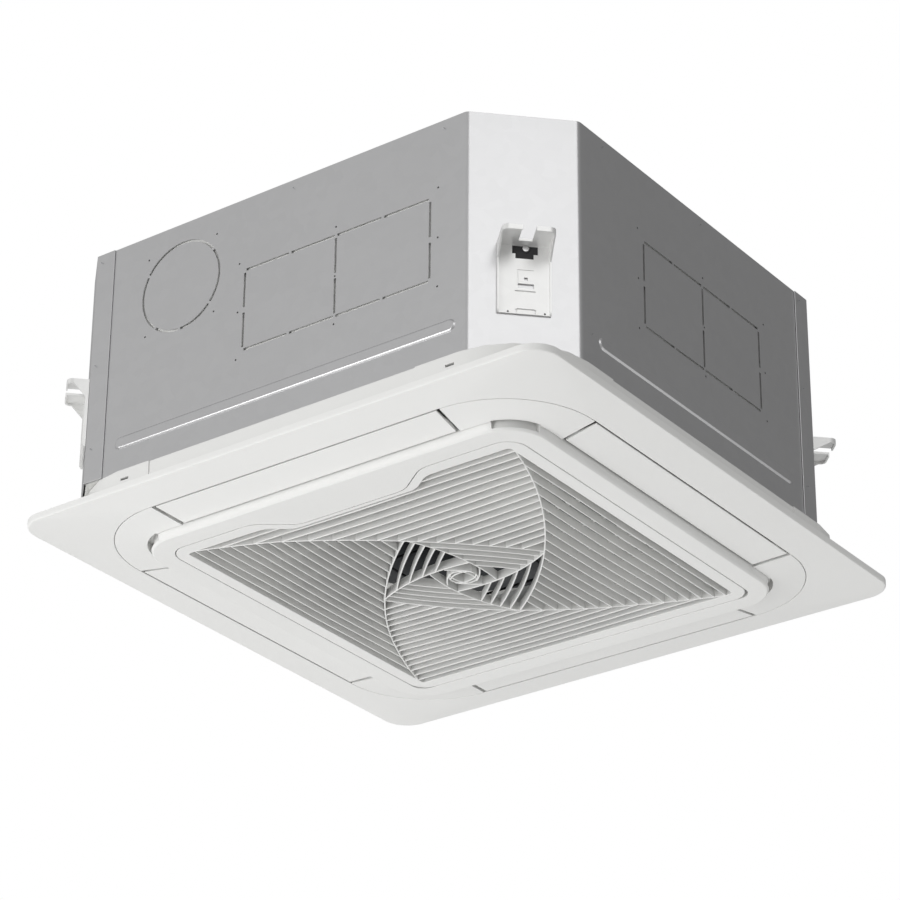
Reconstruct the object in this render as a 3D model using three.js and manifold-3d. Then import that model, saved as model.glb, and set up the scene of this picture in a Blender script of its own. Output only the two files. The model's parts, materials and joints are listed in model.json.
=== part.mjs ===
// Compact four-way ceiling cassette air conditioner, built in its hanging position.
// Millimetres, +Z up. The decoration panel faces down; z = 0 is the lowest point of its grille.
// -Y is the side with the round knock-out, +X the side with only the paired knock-out.
import * as THREE from 'three';
import { mergeVertices } from 'three/addons/utils/BufferGeometryUtils.js';
import Module from 'manifold-3d';

const wasm = await Module();
wasm.setup();

// ---------- clearances ----------
const GAP = 0.3; // between pieces that touch on the real unit
const SEAM_FIT = 0.4; // round the corner covers
const GRILLE_FIT = 1; // round the grille
const CUT = 5; // how far a cutting tool overshoots

// ---------- decoration panel: half widths and heights ----------
const PANEL = 310;
const PANEL_R = 27;
const RIM_W = 38.5; // sloping rim outside the seam line
const BAND_W = 40.5; // band of the vanes and the corner covers
const SEAM = PANEL - RIM_W;
const SEAM_R = 99.6;
const BASE = SEAM - BAND_W; // foot of the raised middle
const BASE_R = 45;
const CORNER_C = BASE - BASE_R; // centre of the raised middle's corner arcs
const FOOT_W = 8.6; // width of the curved wall up to the flat face
const SKIN_T = 3; // moulded wall
const DOME = 4; // belly of the grille below the flat face
const FACE_Z = DOME;
const BASE_Z = FACE_Z + 8;
const FOOT = [[0, BASE_Z], [0.35, BASE_Z - 1.8], [0.55, BASE_Z - 5], [0.7, FACE_Z + 0.9], [1, FACE_Z]];
const SEAM_Z = BASE_Z + 4;
const RIM_Z = SEAM_Z + 4;
const CEILING = RIM_Z + 7; // back of the flange, which meets the ceiling
const RIM_EDGE = 1.5; // rounding of the rim's lower edge
const COVER_T = 2.2;
const GRILLE = BASE - 25.5;
const SEAT = GRILLE - 9.5; // half width of the air opening behind the grille
const SEAT_Z = FACE_Z + 14; // ledge above the grille's edge
const SEAT_R = 12;

// vanes
const SLOT_IN = BASE - 65.8; // half length of a slot at the foot of the raised middle
const SLOT_OUT = SEAM - 101.2; // and at the seam line
const VANE_SIDE = 2; // gap along a vane
const VANE_END = 4; // gap at a vane's ends
const VANE_T = 2.4;
const VANE_SPINE = 1.2; // extra thickness along the pivot
const PIVOT_U = BASE + 12; // distance of a vane's axis from the centre
const PIVOT_Z = 19.5;
const PIN_R = 2;
const PIN_IN = 4; // depth of a pin in its bearing
const EAR_W = 6;
const EAR_TOP = 3.2;
const MOTOR_FROM = SLOT_OUT + 1.7; // vane motor, along its vane's axis
const MOTOR_LEN = 18;
const STEPPER_R = 10.2;
const STEPPER_UP = 7.5; // its shaft is off its middle
const PEG_AT = BASE; // peg of a corner cover
const PEG_R = 3;
const PEG_IN = 9;
const NOTCH = { inner: 41.2, outer: 47.6, half: 30, low: 6.6, high: 23 }; // finger notch

// intake grille
const GRILLE_R = 20;
const GRILLE_T = 3.2;
const AIR = GRILLE - 14; // half width of the slatted field
const AIR_R = 3.4;
const SLAT_T = 1.6;
const SLAT_TOP = 13.5;
const SLAT_STEP = 0.12; // difference in height of crossing slats
const SLAT_FIRST = AIR - 8.5;
const SLAT_PITCH = 11.8;
const SLATS = 15;
const ARC_R = 620; // the four long arcs
const ARC_FROM = [AIR + 1, 7.5 - AIR];
const SQUARE = 93; // half diagonal of the middle square
const SUB_R = 188; // the four short arcs
const SUB_TO = 23.5;
const SUB_PITCH = 8.6;
const SUB_SLATS = 5;
const HUB_R = 15;
const JOG = { y: GRILLE - 26.7, top: 63, base: 100 }; // how the frame reaches into the grille on the -Y side
const JOG_AIR = { y: AIR - 17, top: 72.5, base: 95 }; // edge of the slatted field round it
const JOG_H = 10;
const HINGE_Y = GRILLE - 9.5;
const HINGE_Z = FACE_Z + GRILLE_T + 0.1;
const HINGE_X = 120;
const KNUCKLE_R = 2.4;
const LUG_W = 4;
const KNUCKLE_W = 6;
const HINGE_PIN_R = 1.2;
const SWING_R = 15; // corners of the opening beside the hinge, where the grille swings through
const SWING_Z = 12;
const CATCH_X = 150;
const CATCH_W = 20;
const FILTER_T = 2;
const FILTER_CELLS = 3;
const FILTER_BAR = 2;

// rear housing of the panel
const HOUSING = PANEL - 23;
const HOUSING_R = 84;
const HOUSING_H = 30.7;
const BODY_LOW = CEILING + HOUSING_H + GAP;
const DUCT_IN = BASE - 2; // air ducts above the vanes
const DUCT_W = 33;
const DUCT_HALF = SLOT_IN - 5.2;
const STEP_X = [124 - HOUSING, HOUSING - 133]; // shallow step in its four sides
const CLIP_X = [89 - HOUSING, HOUSING - 99]; // slots of its clips
const CLIP_W = 10;

// ---------- body ----------
const BODY_H = 256;
const BODY_TOP = BODY_LOW + BODY_H;
const BODY = PANEL - 25; // half width over the corner plates
const SHEET = 1;
const SKIN = BODY - SHEET - GAP; // half width of the side sheets
const NEAR_C = 76; // chamfers, measured along the sides
const RIGHT_C = 83;
const FAR_C = 76;
const LEFT_C = 37;
const FLANGE_W = 23; // screwed flanges of the corner plates
const LIP_H = 14;
const LINER_OUT = 1.5; // room for the top plate's lip
const LINER_T = 22;

// knock-outs, cut as slits with bridges left between them
const SLIT = 2.2;
const BRIDGE = 3;
const ROUND = { at: -136, z: 243, r: 48.5, bridges: [36, 150, 230, 270, 320] };
const PAIR_Y = { from: -54.5, to: 167, low: 144.5, high: 232.5 };
const PAIR_X = { from: -102, to: 105, low: 142.5, high: 235 };
const BEAD = { low: 83, high: 97, out: 1.6, slope: 3 };
const BEAD_Y = [-211, 197];
const BEAD_X = [-181, 160];

// hanger brackets
const BRACKET_W = 50;
const BRACKET_LOW = 100;
const BRACKET_TOP = 172;
const BRACKET_T = 2.5;
const BRACKET_FOOT = 3.5; // how far the bracket's flanges stand out
const FLARE_Z = 150; // where they widen towards the slotted plate
const REACH = 34;
const SHORT_REACH = 22;
const ROD_SLOT = 13;
const ROD_SLOT_L = 24;

// ---------- inside ----------
const PAN_H = 34;
const PAN_TOP = BODY_LOW + PAN_H;
const MOUTH_R = 151;
const PAN_HOLE = MOUTH_R - 5;
const COIL_OUT = BODY - 63;
const COIL_IN = COIL_OUT - 36;
const COIL_LOW = PAN_TOP - 8;
const COIL_TOP = BODY_TOP - 16;
const COIL_CORE = 5;
const COIL_GAP = COIL_OUT - 70; // the coil stops here on both sides of the piping corner
const FINS = 9;
const FIN_PITCH = 36;
const FIN_T = 1.6;
const TUBE_PLATE_T = 1.2;
const THROAT_R = MOUTH_R - 39;
const MOUTH_T = 2.4;
const FAN_R = MOUTH_R - 1;
const FAN_LOW = PAN_TOP + 12;
const FAN_TOP = FAN_LOW + 132;
const FAN_T = 3;
const BLADES = 7;
const EYE_R = THROAT_R + 5; // inlet of the fan's shroud
const HUB_IN = 60;
const HUB_OUT = 76;
const BOSS_R = 12;
const BOSS_LOW = FAN_LOW + 68;
const SHAFT_R = 6;
const NUT_H = 8.7;
const MOTOR_R = 50;
const MOTOR_LOW = BOSS_LOW + 21;
const MOTOR_TOP = BODY_TOP - 52;
const MOTOR_FLANGE = 68;
const POST_R = 7;
const POST_AT = 59;
const BOX = { half: SEAT - 31, from: MOUTH_R + 2.5, to: SEAT - 1.5, low: CEILING + 3, t: 1.2 };
const PIPE_Y = 80 - BODY;
const GAS = { z: 200, r: 6.35 };
const LIQUID = { z: 240, r: 3.2 };
const STUB_END = -BODY - 21;
const NUT_LEN = 16;
const DRAIN = { y: 107 - BODY, z: 270, r: 16, bore: 13.5, end: -BODY - 19, inner: 39 - BODY };
const PUMP = { x: 47 - BODY, r: 14, top: 150, riser: 8 };
const FLOAT = { x: 95 - BODY, y: 50 - BODY, r: 8, top: 122 };

// ---------- geometry helpers ----------
// A closed geometry as a solid whose faces point out.
function solid(geometry) {
  const g = geometry.clone();
  g.deleteAttribute('normal');
  g.deleteAttribute('uv');
  const m = mergeVertices(g, 1e-4);
  const triangles = [];
  for (let i = 0; i < m.index.count; i += 3) {
    const [a, b, c] = [m.index.getX(i), m.index.getX(i + 1), m.index.getX(i + 2)];
    if (a !== b && b !== c && c !== a) triangles.push([a, b, c]);
  }
  const build = (list) => new wasm.Manifold(new wasm.Mesh({
    numProp: 3,
    vertProperties: new Float32Array(m.attributes.position.array),
    triVerts: new Uint32Array(list.flat()),
  }));
  const made = build(triangles);
  return made.volume() > 0 ? made : build(triangles.map(([a, b, c]) => [a, c, b]));
}

function fromArrays(positions, indices) {
  const g = new THREE.BufferGeometry();
  g.setAttribute('position', new THREE.Float32BufferAttribute(positions, 3));
  g.setIndex(indices);
  return solid(g);
}

function join(list) {
  return list.reduce((a, b) => a.add(b));
}

function cutAll(body, tools) {
  return tools.reduce((a, b) => a.subtract(b), body);
}

function turned(body, degrees) {
  return body.rotate([0, 0, degrees]);
}

// The bodies of one side, repeated on all four.
function onFourSides(make) {
  return [0, 90, 180, 270].flatMap((angle) => make().map((b) => turned(b, angle)));
}

function box(x0, x1, y0, y1, z0, z1) {
  const g = new THREE.BoxGeometry(x1 - x0, y1 - y0, z1 - z0);
  return solid(g.translate((x0 + x1) / 2, (y0 + y1) / 2, (z0 + z1) / 2));
}

// A box on the -Y side: x and z as given, u measured outwards from the centre.
function sideBox(x0, x1, u0, u1, z0, z1) {
  return box(x0, x1, -u1, -u0, z0, z1);
}

function rod(axis, at, from, to, r, n = 12) {
  const g = new THREE.CylinderGeometry(r, r, to - from, n);
  const mid = (from + to) / 2;
  if (axis === 'x') g.rotateZ(-Math.PI / 2).translate(mid, at[0], at[1]);
  if (axis === 'y') g.translate(at[0], mid, at[1]);
  if (axis === 'z') g.rotateX(Math.PI / 2).translate(at[0], at[1], mid);
  return solid(g);
}

function prism(outline, z0, z1, holes = []) {
  const shape = new THREE.Shape(outline.map(([x, y]) => new THREE.Vector2(x, y)));
  for (const h of holes) shape.holes.push(new THREE.Path(h.map(([x, y]) => new THREE.Vector2(x, y))));
  const g = new THREE.ExtrudeGeometry(shape, { depth: z1 - z0, bevelEnabled: false });
  return solid(g.translate(0, 0, z0));
}

// A section in (u, z), carried along x from x0 to x1, with u pointing to -Y.
function along(section, x0, x1) {
  const shape = new THREE.Shape(section.map(([u, z]) => new THREE.Vector2(u, z)));
  const g = new THREE.ExtrudeGeometry(shape, { depth: x1 - x0, bevelEnabled: false });
  g.rotateX(Math.PI / 2);
  g.rotateZ(-Math.PI / 2);
  return solid(g.translate(x1, 0, 0));
}

// A profile of (radius, height) turned about Z. The profile closes on itself.
function lathe(profile, n = 24) {
  const points = [...profile, profile[0]].map(([r, z]) => new THREE.Vector2(r, z));
  return solid(new THREE.LatheGeometry(points, n).rotateX(Math.PI / 2));
}

// Outline of a rounded square: a = half width, r = corner radius, n steps in each corner.
function roundedSquare(a, r, n) {
  const out = [];
  for (let q = 0; q < 4; q++) {
    const cx = (q === 0 || q === 3 ? 1 : -1) * (a - r);
    const cy = (q < 2 ? 1 : -1) * (a - r);
    for (let i = 0; i <= n; i++) {
      const t = (q + i / n) * Math.PI / 2;
      out.push([cx + r * Math.cos(t), cy + r * Math.sin(t)]);
    }
  }
  return out;
}

// A closed section of points [half width, corner radius, z], carried round the square.
function ringOf(section, n = 5) {
  const rows = section.map(([a, r]) => roundedSquare(a, r, n));
  const count = rows[0].length;
  const positions = [];
  rows.forEach((row, i) => row.forEach(([x, y]) => positions.push(x, y, section[i][2])));
  const indices = [];
  for (let i = 0; i < rows.length; i++) {
    const k = (i + 1) % rows.length;
    for (let j = 0; j < count; j++) {
      const l = (j + 1) % count;
      const [a, b, c, d] = [i * count + j, i * count + l, k * count + l, k * count + j];
      indices.push(a, b, c, a, c, d);
    }
  }
  return fromArrays(positions, indices);
}

// A square tube round the Z axis, between two half widths and two heights.
function squareTube(outer, outerR, inner, innerR, z0, z1, n = 5) {
  return ringOf([[outer, outerR, z0], [outer, outerR, z1], [inner, innerR, z1], [inner, innerR, z0]], n);
}

// An upright blade that follows points in plan. Its lower edge is a height or a function of the plan.
function blade(points, thick, low, top) {
  const foot = (x, y) => (typeof low === 'function' ? low(x, y) : low);
  const positions = [];
  points.forEach((p, i) => {
    const [dx, dy] = unit(points[Math.max(0, i - 1)], points[Math.min(points.length - 1, i + 1)]);
    for (const s of [1, -1]) {
      const [x, y] = [p[0] - s * dy * thick / 2, p[1] + s * dx * thick / 2];
      positions.push(x, y, foot(p[0], p[1]), x, y, top);
    }
  });
  const indices = [];
  for (let i = 0; i < points.length - 1; i++) {
    const [o, q] = [4 * i, 4 * i + 4];
    for (const [a, b] of [[0, 1], [1, 3], [3, 2], [2, 0]]) {
      indices.push(o + a, q + a, q + b, o + a, q + b, o + b);
    }
  }
  const e = 4 * (points.length - 1);
  indices.push(0, 1, 3, 0, 3, 2, e, e + 3, e + 1, e, e + 2, e + 3);
  return fromArrays(positions, indices);
}

// A bent sheet that follows points in plan, its outer face on the path's right-hand side.
function bentSheet(path, thick, z0, z1) {
  const inner = path.map((p, i) => {
    const dirs = [];
    if (i > 0) dirs.push(unit(path[i - 1], p));
    if (i < path.length - 1) dirs.push(unit(p, path[i + 1]));
    const n = dirs.map(([x, y]) => [-y, x]);
    if (n.length === 1) return [p[0] + thick * n[0][0], p[1] + thick * n[0][1]];
    const k = thick / (1 + n[0][0] * n[1][0] + n[0][1] * n[1][1]);
    return [p[0] + k * (n[0][0] + n[1][0]), p[1] + k * (n[0][1] + n[1][1])];
  });
  return prism([...path, ...inner.reverse()], z0, z1);
}

function unit(a, b) {
  const len = Math.hypot(b[0] - a[0], b[1] - a[1]);
  return [(b[0] - a[0]) / len, (b[1] - a[1]) / len];
}

// Points on an arc that bulges to the right of the way from one end to the other.
function arcPoints(from, to, radius, n) {
  const mid = [(from[0] + to[0]) / 2, (from[1] + to[1]) / 2];
  const half = Math.hypot(to[0] - from[0], to[1] - from[1]) / 2;
  const [ux, uy] = unit(from, to);
  const back = Math.sqrt(radius * radius - half * half);
  const c = [mid[0] - uy * back, mid[1] + ux * back];
  const t0 = Math.atan2(from[1] - c[1], from[0] - c[0]);
  const sweep = 2 * Math.asin(half / radius);
  return Array.from({ length: n + 1 }, (_, i) => {
    const t = t0 + sweep * i / n;
    return [c[0] + radius * Math.cos(t), c[1] + radius * Math.sin(t)];
  });
}

function circle(r, n) {
  return Array.from({ length: n }, (_, i) => {
    const t = 2 * Math.PI * i / n;
    return [r * Math.cos(t), r * Math.sin(t)];
  });
}

// A point of the plan turned about the centre by quarter turns.
function quarter([x, y], turns) {
  let p = [x, y];
  for (let i = 0; i < turns; i++) p = [-p[1], p[0]];
  return p;
}

// Where a curve of points meets the line a x + b y = d, or undefined.
function meet(curve, a, b, d) {
  for (let i = 0; i < curve.length - 1; i++) {
    const [p, q] = [curve[i], curve[i + 1]];
    const [fp, fq] = [a * p[0] + b * p[1] - d, a * q[0] + b * q[1] - d];
    if (fp * fq <= 0 && fp !== fq) {
      const t = fp / (fp - fq);
      return [p[0] + (q[0] - p[0]) * t, p[1] + (q[1] - p[1]) * t];
    }
  }
  return undefined;
}

// Where one curve of points crosses another, and on which of its steps, or undefined.
function crossing(curve, other) {
  for (let step = 0; step < curve.length - 1; step++) {
    const [p, q] = [curve[step], curve[step + 1]];
    const [dx, dy] = [q[0] - p[0], q[1] - p[1]];
    const at = meet(other, -dy, dx, dx * p[1] - dy * p[0]);
    const share = at && ((at[0] - p[0]) * dx + (at[1] - p[1]) * dy) / (dx * dx + dy * dy);
    if (at && share >= 0 && share <= 1) return { step, at };
  }
  return undefined;
}

// Half length of a vane slot at a distance u from the centre.
function slotHalf(u) {
  return SLOT_IN + (SLOT_OUT - SLOT_IN) * (u - BASE) / (SEAM - BASE);
}

// Height of the band's lower face at a distance u from the centre.
function bandZ(u) {
  return BASE_Z + (SEAM_Z - BASE_Z) * (u - BASE) / (SEAM - BASE);
}

// Trapezium between the distances u0 and u1 on the -Y side, its ends at half(u).
function sidePlan(u0, u1, half) {
  return [[-half(u1), -u1], [half(u1), -u1], [half(u0), -u0], [-half(u0), -u0]];
}

// Plan of the body with half width a, every chamfer kept parallel as a changes.
function bodyPlan(a) {
  const c = (v) => v - (BODY - a) * (2 - Math.SQRT2);
  const [n, r, f, l] = [c(NEAR_C), c(RIGHT_C), c(FAR_C), c(LEFT_C)];
  return [
    [a - n, -a], [a, -a + n], [a, a - r], [a - r, a],
    [-a + f, a], [-a, a - f], [-a, -a + l], [-a + l, -a],
  ];
}

// ---------- panel frame ----------
function panelFrame() {
  const wall = (a, z) => [a, a - CORNER_C, z];
  const edge = GRILLE + GRILLE_FIT;
  const edgeR = GRILLE_R + GRILLE_FIT;
  const rim = SEAM + SEAM_FIT;
  const rimR = SEAM_R + SEAM_FIT;
  const roof = COVER_T + SEAM_FIT;
  const foot = FOOT.map(([share, z]) => wall(BASE - share * FOOT_W, z));
  const ring = ringOf([
    [PANEL, PANEL_R, CEILING], [PANEL, PANEL_R, RIM_Z + RIM_EDGE],
    [PANEL - RIM_EDGE, PANEL_R - RIM_EDGE, RIM_Z], [rim, rimR, SEAM_Z], [rim, rimR, SEAM_Z + roof],
    wall(BASE, BASE_Z + roof), ...foot, [edge, edgeR, FACE_Z], [edge, edgeR, SEAT_Z],
    [SEAT, SEAT_R, SEAT_Z], [SEAT, SEAT_R, CEILING], [edge + SKIN_T, edgeR + SKIN_T, CEILING],
    [edge + SKIN_T, edgeR + SKIN_T, FACE_Z + SKIN_T], wall(BASE - FOOT_W, FACE_Z + SKIN_T),
    wall(BASE - SKIN_T, BASE_Z), wall(BASE - SKIN_T, CEILING), [rim + SKIN_T, rimR + SKIN_T, CEILING],
    [rim + SKIN_T, rimR + SKIN_T, SEAM_Z + SKIN_T + 0.5],
    [PANEL - SKIN_T, PANEL_R - SKIN_T, RIM_Z + SKIN_T], [PANEL - SKIN_T, PANEL_R - SKIN_T, CEILING],
  ]);
  const cuts = onFourSides(() => [
    vaneSlot(), vaneBearings(), motorPocket(CEILING + CUT), pegHole(), notch()]);
  return cutAll(ring.add(receiverShelf()), [...cuts, swingRoom(edge)]).add(join(hingeLugs()));
}

// Relief of the opening's two corners beside the hinge.
function swingRoom(edge) {
  const beside = box(-edge - CUT, edge + CUT, edge / 2, edge + CUT, 0, SWING_Z);
  return prism(roundedSquare(edge, SWING_R, 5), 0, SWING_Z).intersect(beside);
}

function vaneSlot() {
  const slot = prism(sidePlan(BASE, SEAM + SEAM_FIT, slotHalf), 0, CEILING + CUT);
  // room behind the raised middle for the vane's inner edge as it rises
  return slot.add(sideBox(-SLOT_IN, SLOT_IN, BASE - SKIN_T - CUT, BASE + 1, BASE_Z + SKIN_T, CEILING + CUT));
}

function vaneBearings() {
  const end = slotHalf(PIVOT_U) + PIN_IN + GAP;
  return rod('x', [-PIVOT_U, PIVOT_Z], -end, MOTOR_FROM, PIN_R + GAP, 8);
}

function motorPocket(top) {
  const r = STEPPER_R + GAP;
  return sideBox(MOTOR_FROM - GAP, MOTOR_FROM + MOTOR_LEN + GAP, PIVOT_U - r, PIVOT_U + r, BASE_Z + 1, top);
}

function pegHole() {
  return rod('z', [PEG_AT, -PEG_AT], SEAM_Z - 2, SEAM_Z - 1 + PEG_IN + GAP, PEG_R + GAP, 8);
}

// Finger notch beside the corner of the raised middle, in the +X -Y corner.
function notch() {
  const at = (r, degrees) => {
    const t = degrees * Math.PI / 180;
    return [CORNER_C + r * Math.cos(t), -CORNER_C + r * Math.sin(t)];
  };
  const steps = [0, 1, 2, 3, 4].map((i) => -45 - NOTCH.half + NOTCH.half * i / 2);
  const outer = steps.map((t) => at(NOTCH.outer, t));
  const inner = steps.reverse().map((t) => at(NOTCH.inner, t));
  return prism([...outer, ...inner], NOTCH.low, NOTCH.high);
}

// The part of the frame that reaches into the grille, with a pocket for the receiver.
function receiverShelf() {
  const y = JOG.y + GRILLE_FIT;
  const edge = GRILLE + GRILLE_FIT;
  const half = (u) => JOG.top + (JOG.base - JOG.top) * (u - y) / (edge - y) - 0.6;
  const shelf = prism(sidePlan(y, edge + SKIN_T, half), FACE_Z, FACE_Z + JOG_H);
  return shelf.subtract(receiverPocket(0, FACE_Z + JOG_H + CUT));
}

function receiverPocket(inset, top) {
  return sideBox(-40 + inset, 40 - inset, JOG.y + 5 + inset, SEAT - 1 - inset, FACE_Z + 2.5 + inset, top);
}

function receiverBoard() {
  const board = receiverPocket(GAP, FACE_Z + 4.4);
  const eye = rod('z', [-18, -JOG.y - 10], FACE_Z + 4, FACE_Z + 8, 3, 12);
  const chip = sideBox(4, 14, JOG.y + 7, JOG.y + 13, FACE_Z + 4, FACE_Z + 6);
  return join([board, eye, chip]);
}

// Knuckles by which the frame holds the grille's hinge pins.
function hingeLugs() {
  return [-HINGE_X, HINGE_X].map((x) => {
    const [x0, x1] = [x - LUG_W / 2, x + LUG_W / 2];
    const knuckle = rod('x', [HINGE_Y, HINGE_Z], x0, x1, KNUCKLE_R);
    const neck = box(x0, x1, HINGE_Y - KNUCKLE_R, HINGE_Y - GAP, HINGE_Z, SEAT_Z + SKIN_T / 2);
    const arm = box(x0 - 1, x1 + 1, HINGE_Y - KNUCKLE_R - 1, SEAT + SKIN_T, SEAT_Z + 1, SEAT_Z + SKIN_T);
    return join([knuckle, neck, arm]).subtract(pinHole(x0 - 1, x1 + 1));
  });
}

function pinHole(x0, x1) {
  return rod('x', [HINGE_Y, HINGE_Z], x0, x1, HINGE_PIN_R + GAP, 12);
}

function cornerCover() {
  const wall = (a, z) => [a, a - CORNER_C, z];
  const [a, r] = [SEAM - SEAM_FIT, SEAM_R - SEAM_FIT];
  const shell = ringOf([
    [a, r, SEAM_Z], [a, r, SEAM_Z + COVER_T], wall(BASE + GAP, BASE_Z + COVER_T), wall(BASE + GAP, BASE_Z),
  ]);
  const [near, far] = [BASE - 15, SEAM + 9];
  const [k, l] = [slotHalf(near) + GAP, slotHalf(far) + GAP];
  const corner = [[k - 20, 20 - k], [k, -near], [l, -far], [PANEL, -PANEL], [far, -l], [near, -k]];
  const wedge = prism(corner, 0, CEILING);
  const peg = rod('z', [PEG_AT, -PEG_AT], SEAM_Z - 1, SEAM_Z - 1 + PEG_IN, PEG_R, 8);
  return shell.intersect(wedge).subtract(notch()).add(peg);
}

// ---------- vanes ----------
function vane() {
  const [inner, outer] = [BASE + VANE_SIDE, SEAM + SEAM_FIT - VANE_SIDE];
  const back = bandZ(PIVOT_U) + VANE_T + VANE_SPINE;
  const plate = along([
    [inner, bandZ(inner) + 0.2], [outer, bandZ(outer)], [outer, bandZ(outer) + VANE_T - 0.8],
    [PIVOT_U + 8, back], [PIVOT_U - 4, back], [inner, bandZ(inner) + VANE_T],
  ], -SLOT_OUT, SLOT_OUT);
  const plan = prism(sidePlan(BASE, SEAM + SEAM_FIT, (u) => slotHalf(u) - VANE_END), 0, CEILING);
  const half = SLOT_IN - VANE_END;
  const ear = (x0) => sideBox(x0, x0 + EAR_W, PIVOT_U - 4, PIVOT_U + 4, back - 1, PIVOT_Z + EAR_TOP);
  const pin = (x0, x1) => rod('x', [-PIVOT_U, PIVOT_Z], x0, x1, PIN_R, 8);
  const far = slotHalf(PIVOT_U) + PIN_IN;
  return join([plate.intersect(plan), ear(-half), ear(half - EAR_W), pin(-far, 1 - half),
    pin(half - 1, MOTOR_FROM + 7)]);
}

function vaneMotor() {
  const z = PIVOT_Z + STEPPER_UP;
  const can = rod('x', [-PIVOT_U, z], MOTOR_FROM, MOTOR_FROM + MOTOR_LEN, STEPPER_R, 20);
  return can.subtract(rod('x', [-PIVOT_U, PIVOT_Z], MOTOR_FROM - CUT, MOTOR_FROM + 7 + GAP, PIN_R + GAP, 8));
}

// ---------- rear housing of the panel ----------
function panelHousing() {
  const low = CEILING + GAP;
  const top = low + HOUSING_H - GAP;
  const t = SKIN_T;
  const floor = squareTube(HOUSING, HOUSING_R, SEAT, SEAT_R, low, low + t);
  const rim = squareTube(HOUSING, HOUSING_R, HOUSING - t, HOUSING_R - t, low, top);
  const collar = squareTube(SEAT + t, SEAT_R + t, SEAT, SEAT_R, low, top);
  const ducts = onFourSides(() => [
    sideBox(-DUCT_HALF - t, DUCT_HALF + t, DUCT_IN - t, DUCT_IN + DUCT_W + t, low, top)]);
  const cuts = onFourSides(() => [
    duct(0, top + CUT), motorPocket(PIVOT_Z + STEPPER_UP + STEPPER_R + 1), housingStep(low + 2, top + CUT),
    ...CLIP_X.map(clipSlot)]);
  return cutAll(join([floor, rim, collar, ...ducts]), cuts);
}

function duct(z0, z1) {
  return sideBox(-DUCT_HALF, DUCT_HALF, DUCT_IN, DUCT_IN + DUCT_W, z0, z1);
}

function housingStep(z0, z1) {
  return sideBox(...STEP_X, HOUSING - 1.4, HOUSING + CUT, z0, z1);
}

function clipSlot(x) {
  return sideBox(x, x + CLIP_W, HOUSING - CUT, HOUSING + CUT, CEILING + 19, CEILING + 21.5);
}

// ---------- swirl intake grille ----------
// Lower edge of a slat, from the belly in the middle to a hair above the flat face.
function belly(x, y) {
  return (FACE_Z + SLAT_STEP) * Math.min(1, (x * x + y * y) / (AIR * AIR));
}

const LONG_ARC = arcPoints(ARC_FROM, [0, SQUARE], ARC_R, 7);
const SHORT_ARC = arcPoints([1, -SQUARE], [SUB_TO, SUB_TO], SUB_R, 4);

// Straight slats between two neighbouring long arcs, on the -Y side.
function outerSlats() {
  const before = LONG_ARC.map((p) => quarter(p, 3));
  return Array.from({ length: SLATS }, (_, i) => {
    const y = SLAT_PITCH * i - SLAT_FIRST;
    return [meet(before, 0, 1, y), meet(LONG_ARC, 0, 1, y)];
  });
}

// Slats between two short arcs, curved like the long arc at their side of the middle square.
function innerSlats() {
  const [a, b] = [1, 2].map((turns) => SHORT_ARC.map((p) => quarter(p, turns)));
  const curves = Array.from({ length: SUB_SLATS }, (_, i) => {
    const shift = SUB_PITCH * (i + 1) * Math.SQRT1_2;
    return LONG_ARC.map(([x, y]) => [x - shift, y - shift]);
  });
  return curves.map((curve) => piece(curve, a, b)).filter((line) => line);
}

// The piece of a curve between two others, or undefined.
function piece(curve, first, second) {
  const [from, to] = [crossing(curve, first), crossing(curve, second)];
  if (!from || !to) return undefined;
  return [from.at, ...curve.slice(from.step + 1, to.step + 1), to.at];
}

// Curved ribs of the hub.
function hubLines() {
  return [arcPoints([HUB_R, 2], [2 - HUB_R / 2, HUB_R - 2], HUB_R * 1.8, 3),
    arcPoints([SUB_TO, -6], [6, HUB_R], 60, 2)];
}

// Arcs stand a hair below and above the slats they carry.
function swirl() {
  const around = (lines, step) => [0, 1, 2, 3].flatMap((turns) => lines.map((line) => {
    return blade(line.map((p) => quarter(p, turns)), SLAT_T, step, SLAT_TOP - step);
  }));
  return [...around([LONG_ARC], 0), ...around([SHORT_ARC], SLAT_STEP / 2),
    ...around([...outerSlats(), ...innerSlats(), ...hubLines()], SLAT_STEP)];
}

// The slats' lower edges follow the belly.
function bellied(body) {
  const data = body.getMesh();
  const positions = Array.from(data.vertProperties);
  for (let i = 0; i < positions.length; i += 3) {
    if (positions[i + 2] < GAP) positions[i + 2] += belly(positions[i], positions[i + 1]);
  }
  return fromArrays(positions, Array.from(data.triVerts));
}

function intakeGrille() {
  const top = FACE_Z + GRILLE_T;
  const border = ringOf([
    [GRILLE, GRILLE_R, FACE_Z + 0.4], [GRILLE, GRILLE_R, top], [AIR + SLAT_T, AIR_R + SLAT_T, top],
    [AIR + SLAT_T, AIR_R + SLAT_T, SLAT_TOP + SLAT_STEP], [AIR, AIR_R, SLAT_TOP + SLAT_STEP],
    [AIR, AIR_R, FACE_Z], [GRILLE - 0.5, GRILLE_R - 0.5, FACE_Z],
  ], 5);
  const field = border.add(bellied(join([...swirl(), hubRing()])));
  const jogged = field.subtract(jogPrism(JOG_AIR, AIR + SLAT_T / 2, -1, SLAT_TOP + 1)).add(jogPlate());
  const plain = cutAll(jogged, [jogPrism(JOG, GRILLE + CUT, -1, SLAT_TOP + 1), ...hingeGrooves()]);
  return cutAll(join([plain, ...grilleKnuckles()]), pinHoles());
}

function hubRing() {
  const [inner, outer] = [HUB_R - SLAT_T / 2, HUB_R + SLAT_T / 2];
  return lathe([[inner, 0], [outer, 0], [outer, SLAT_TOP], [inner, SLAT_TOP]], 20);
}

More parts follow.
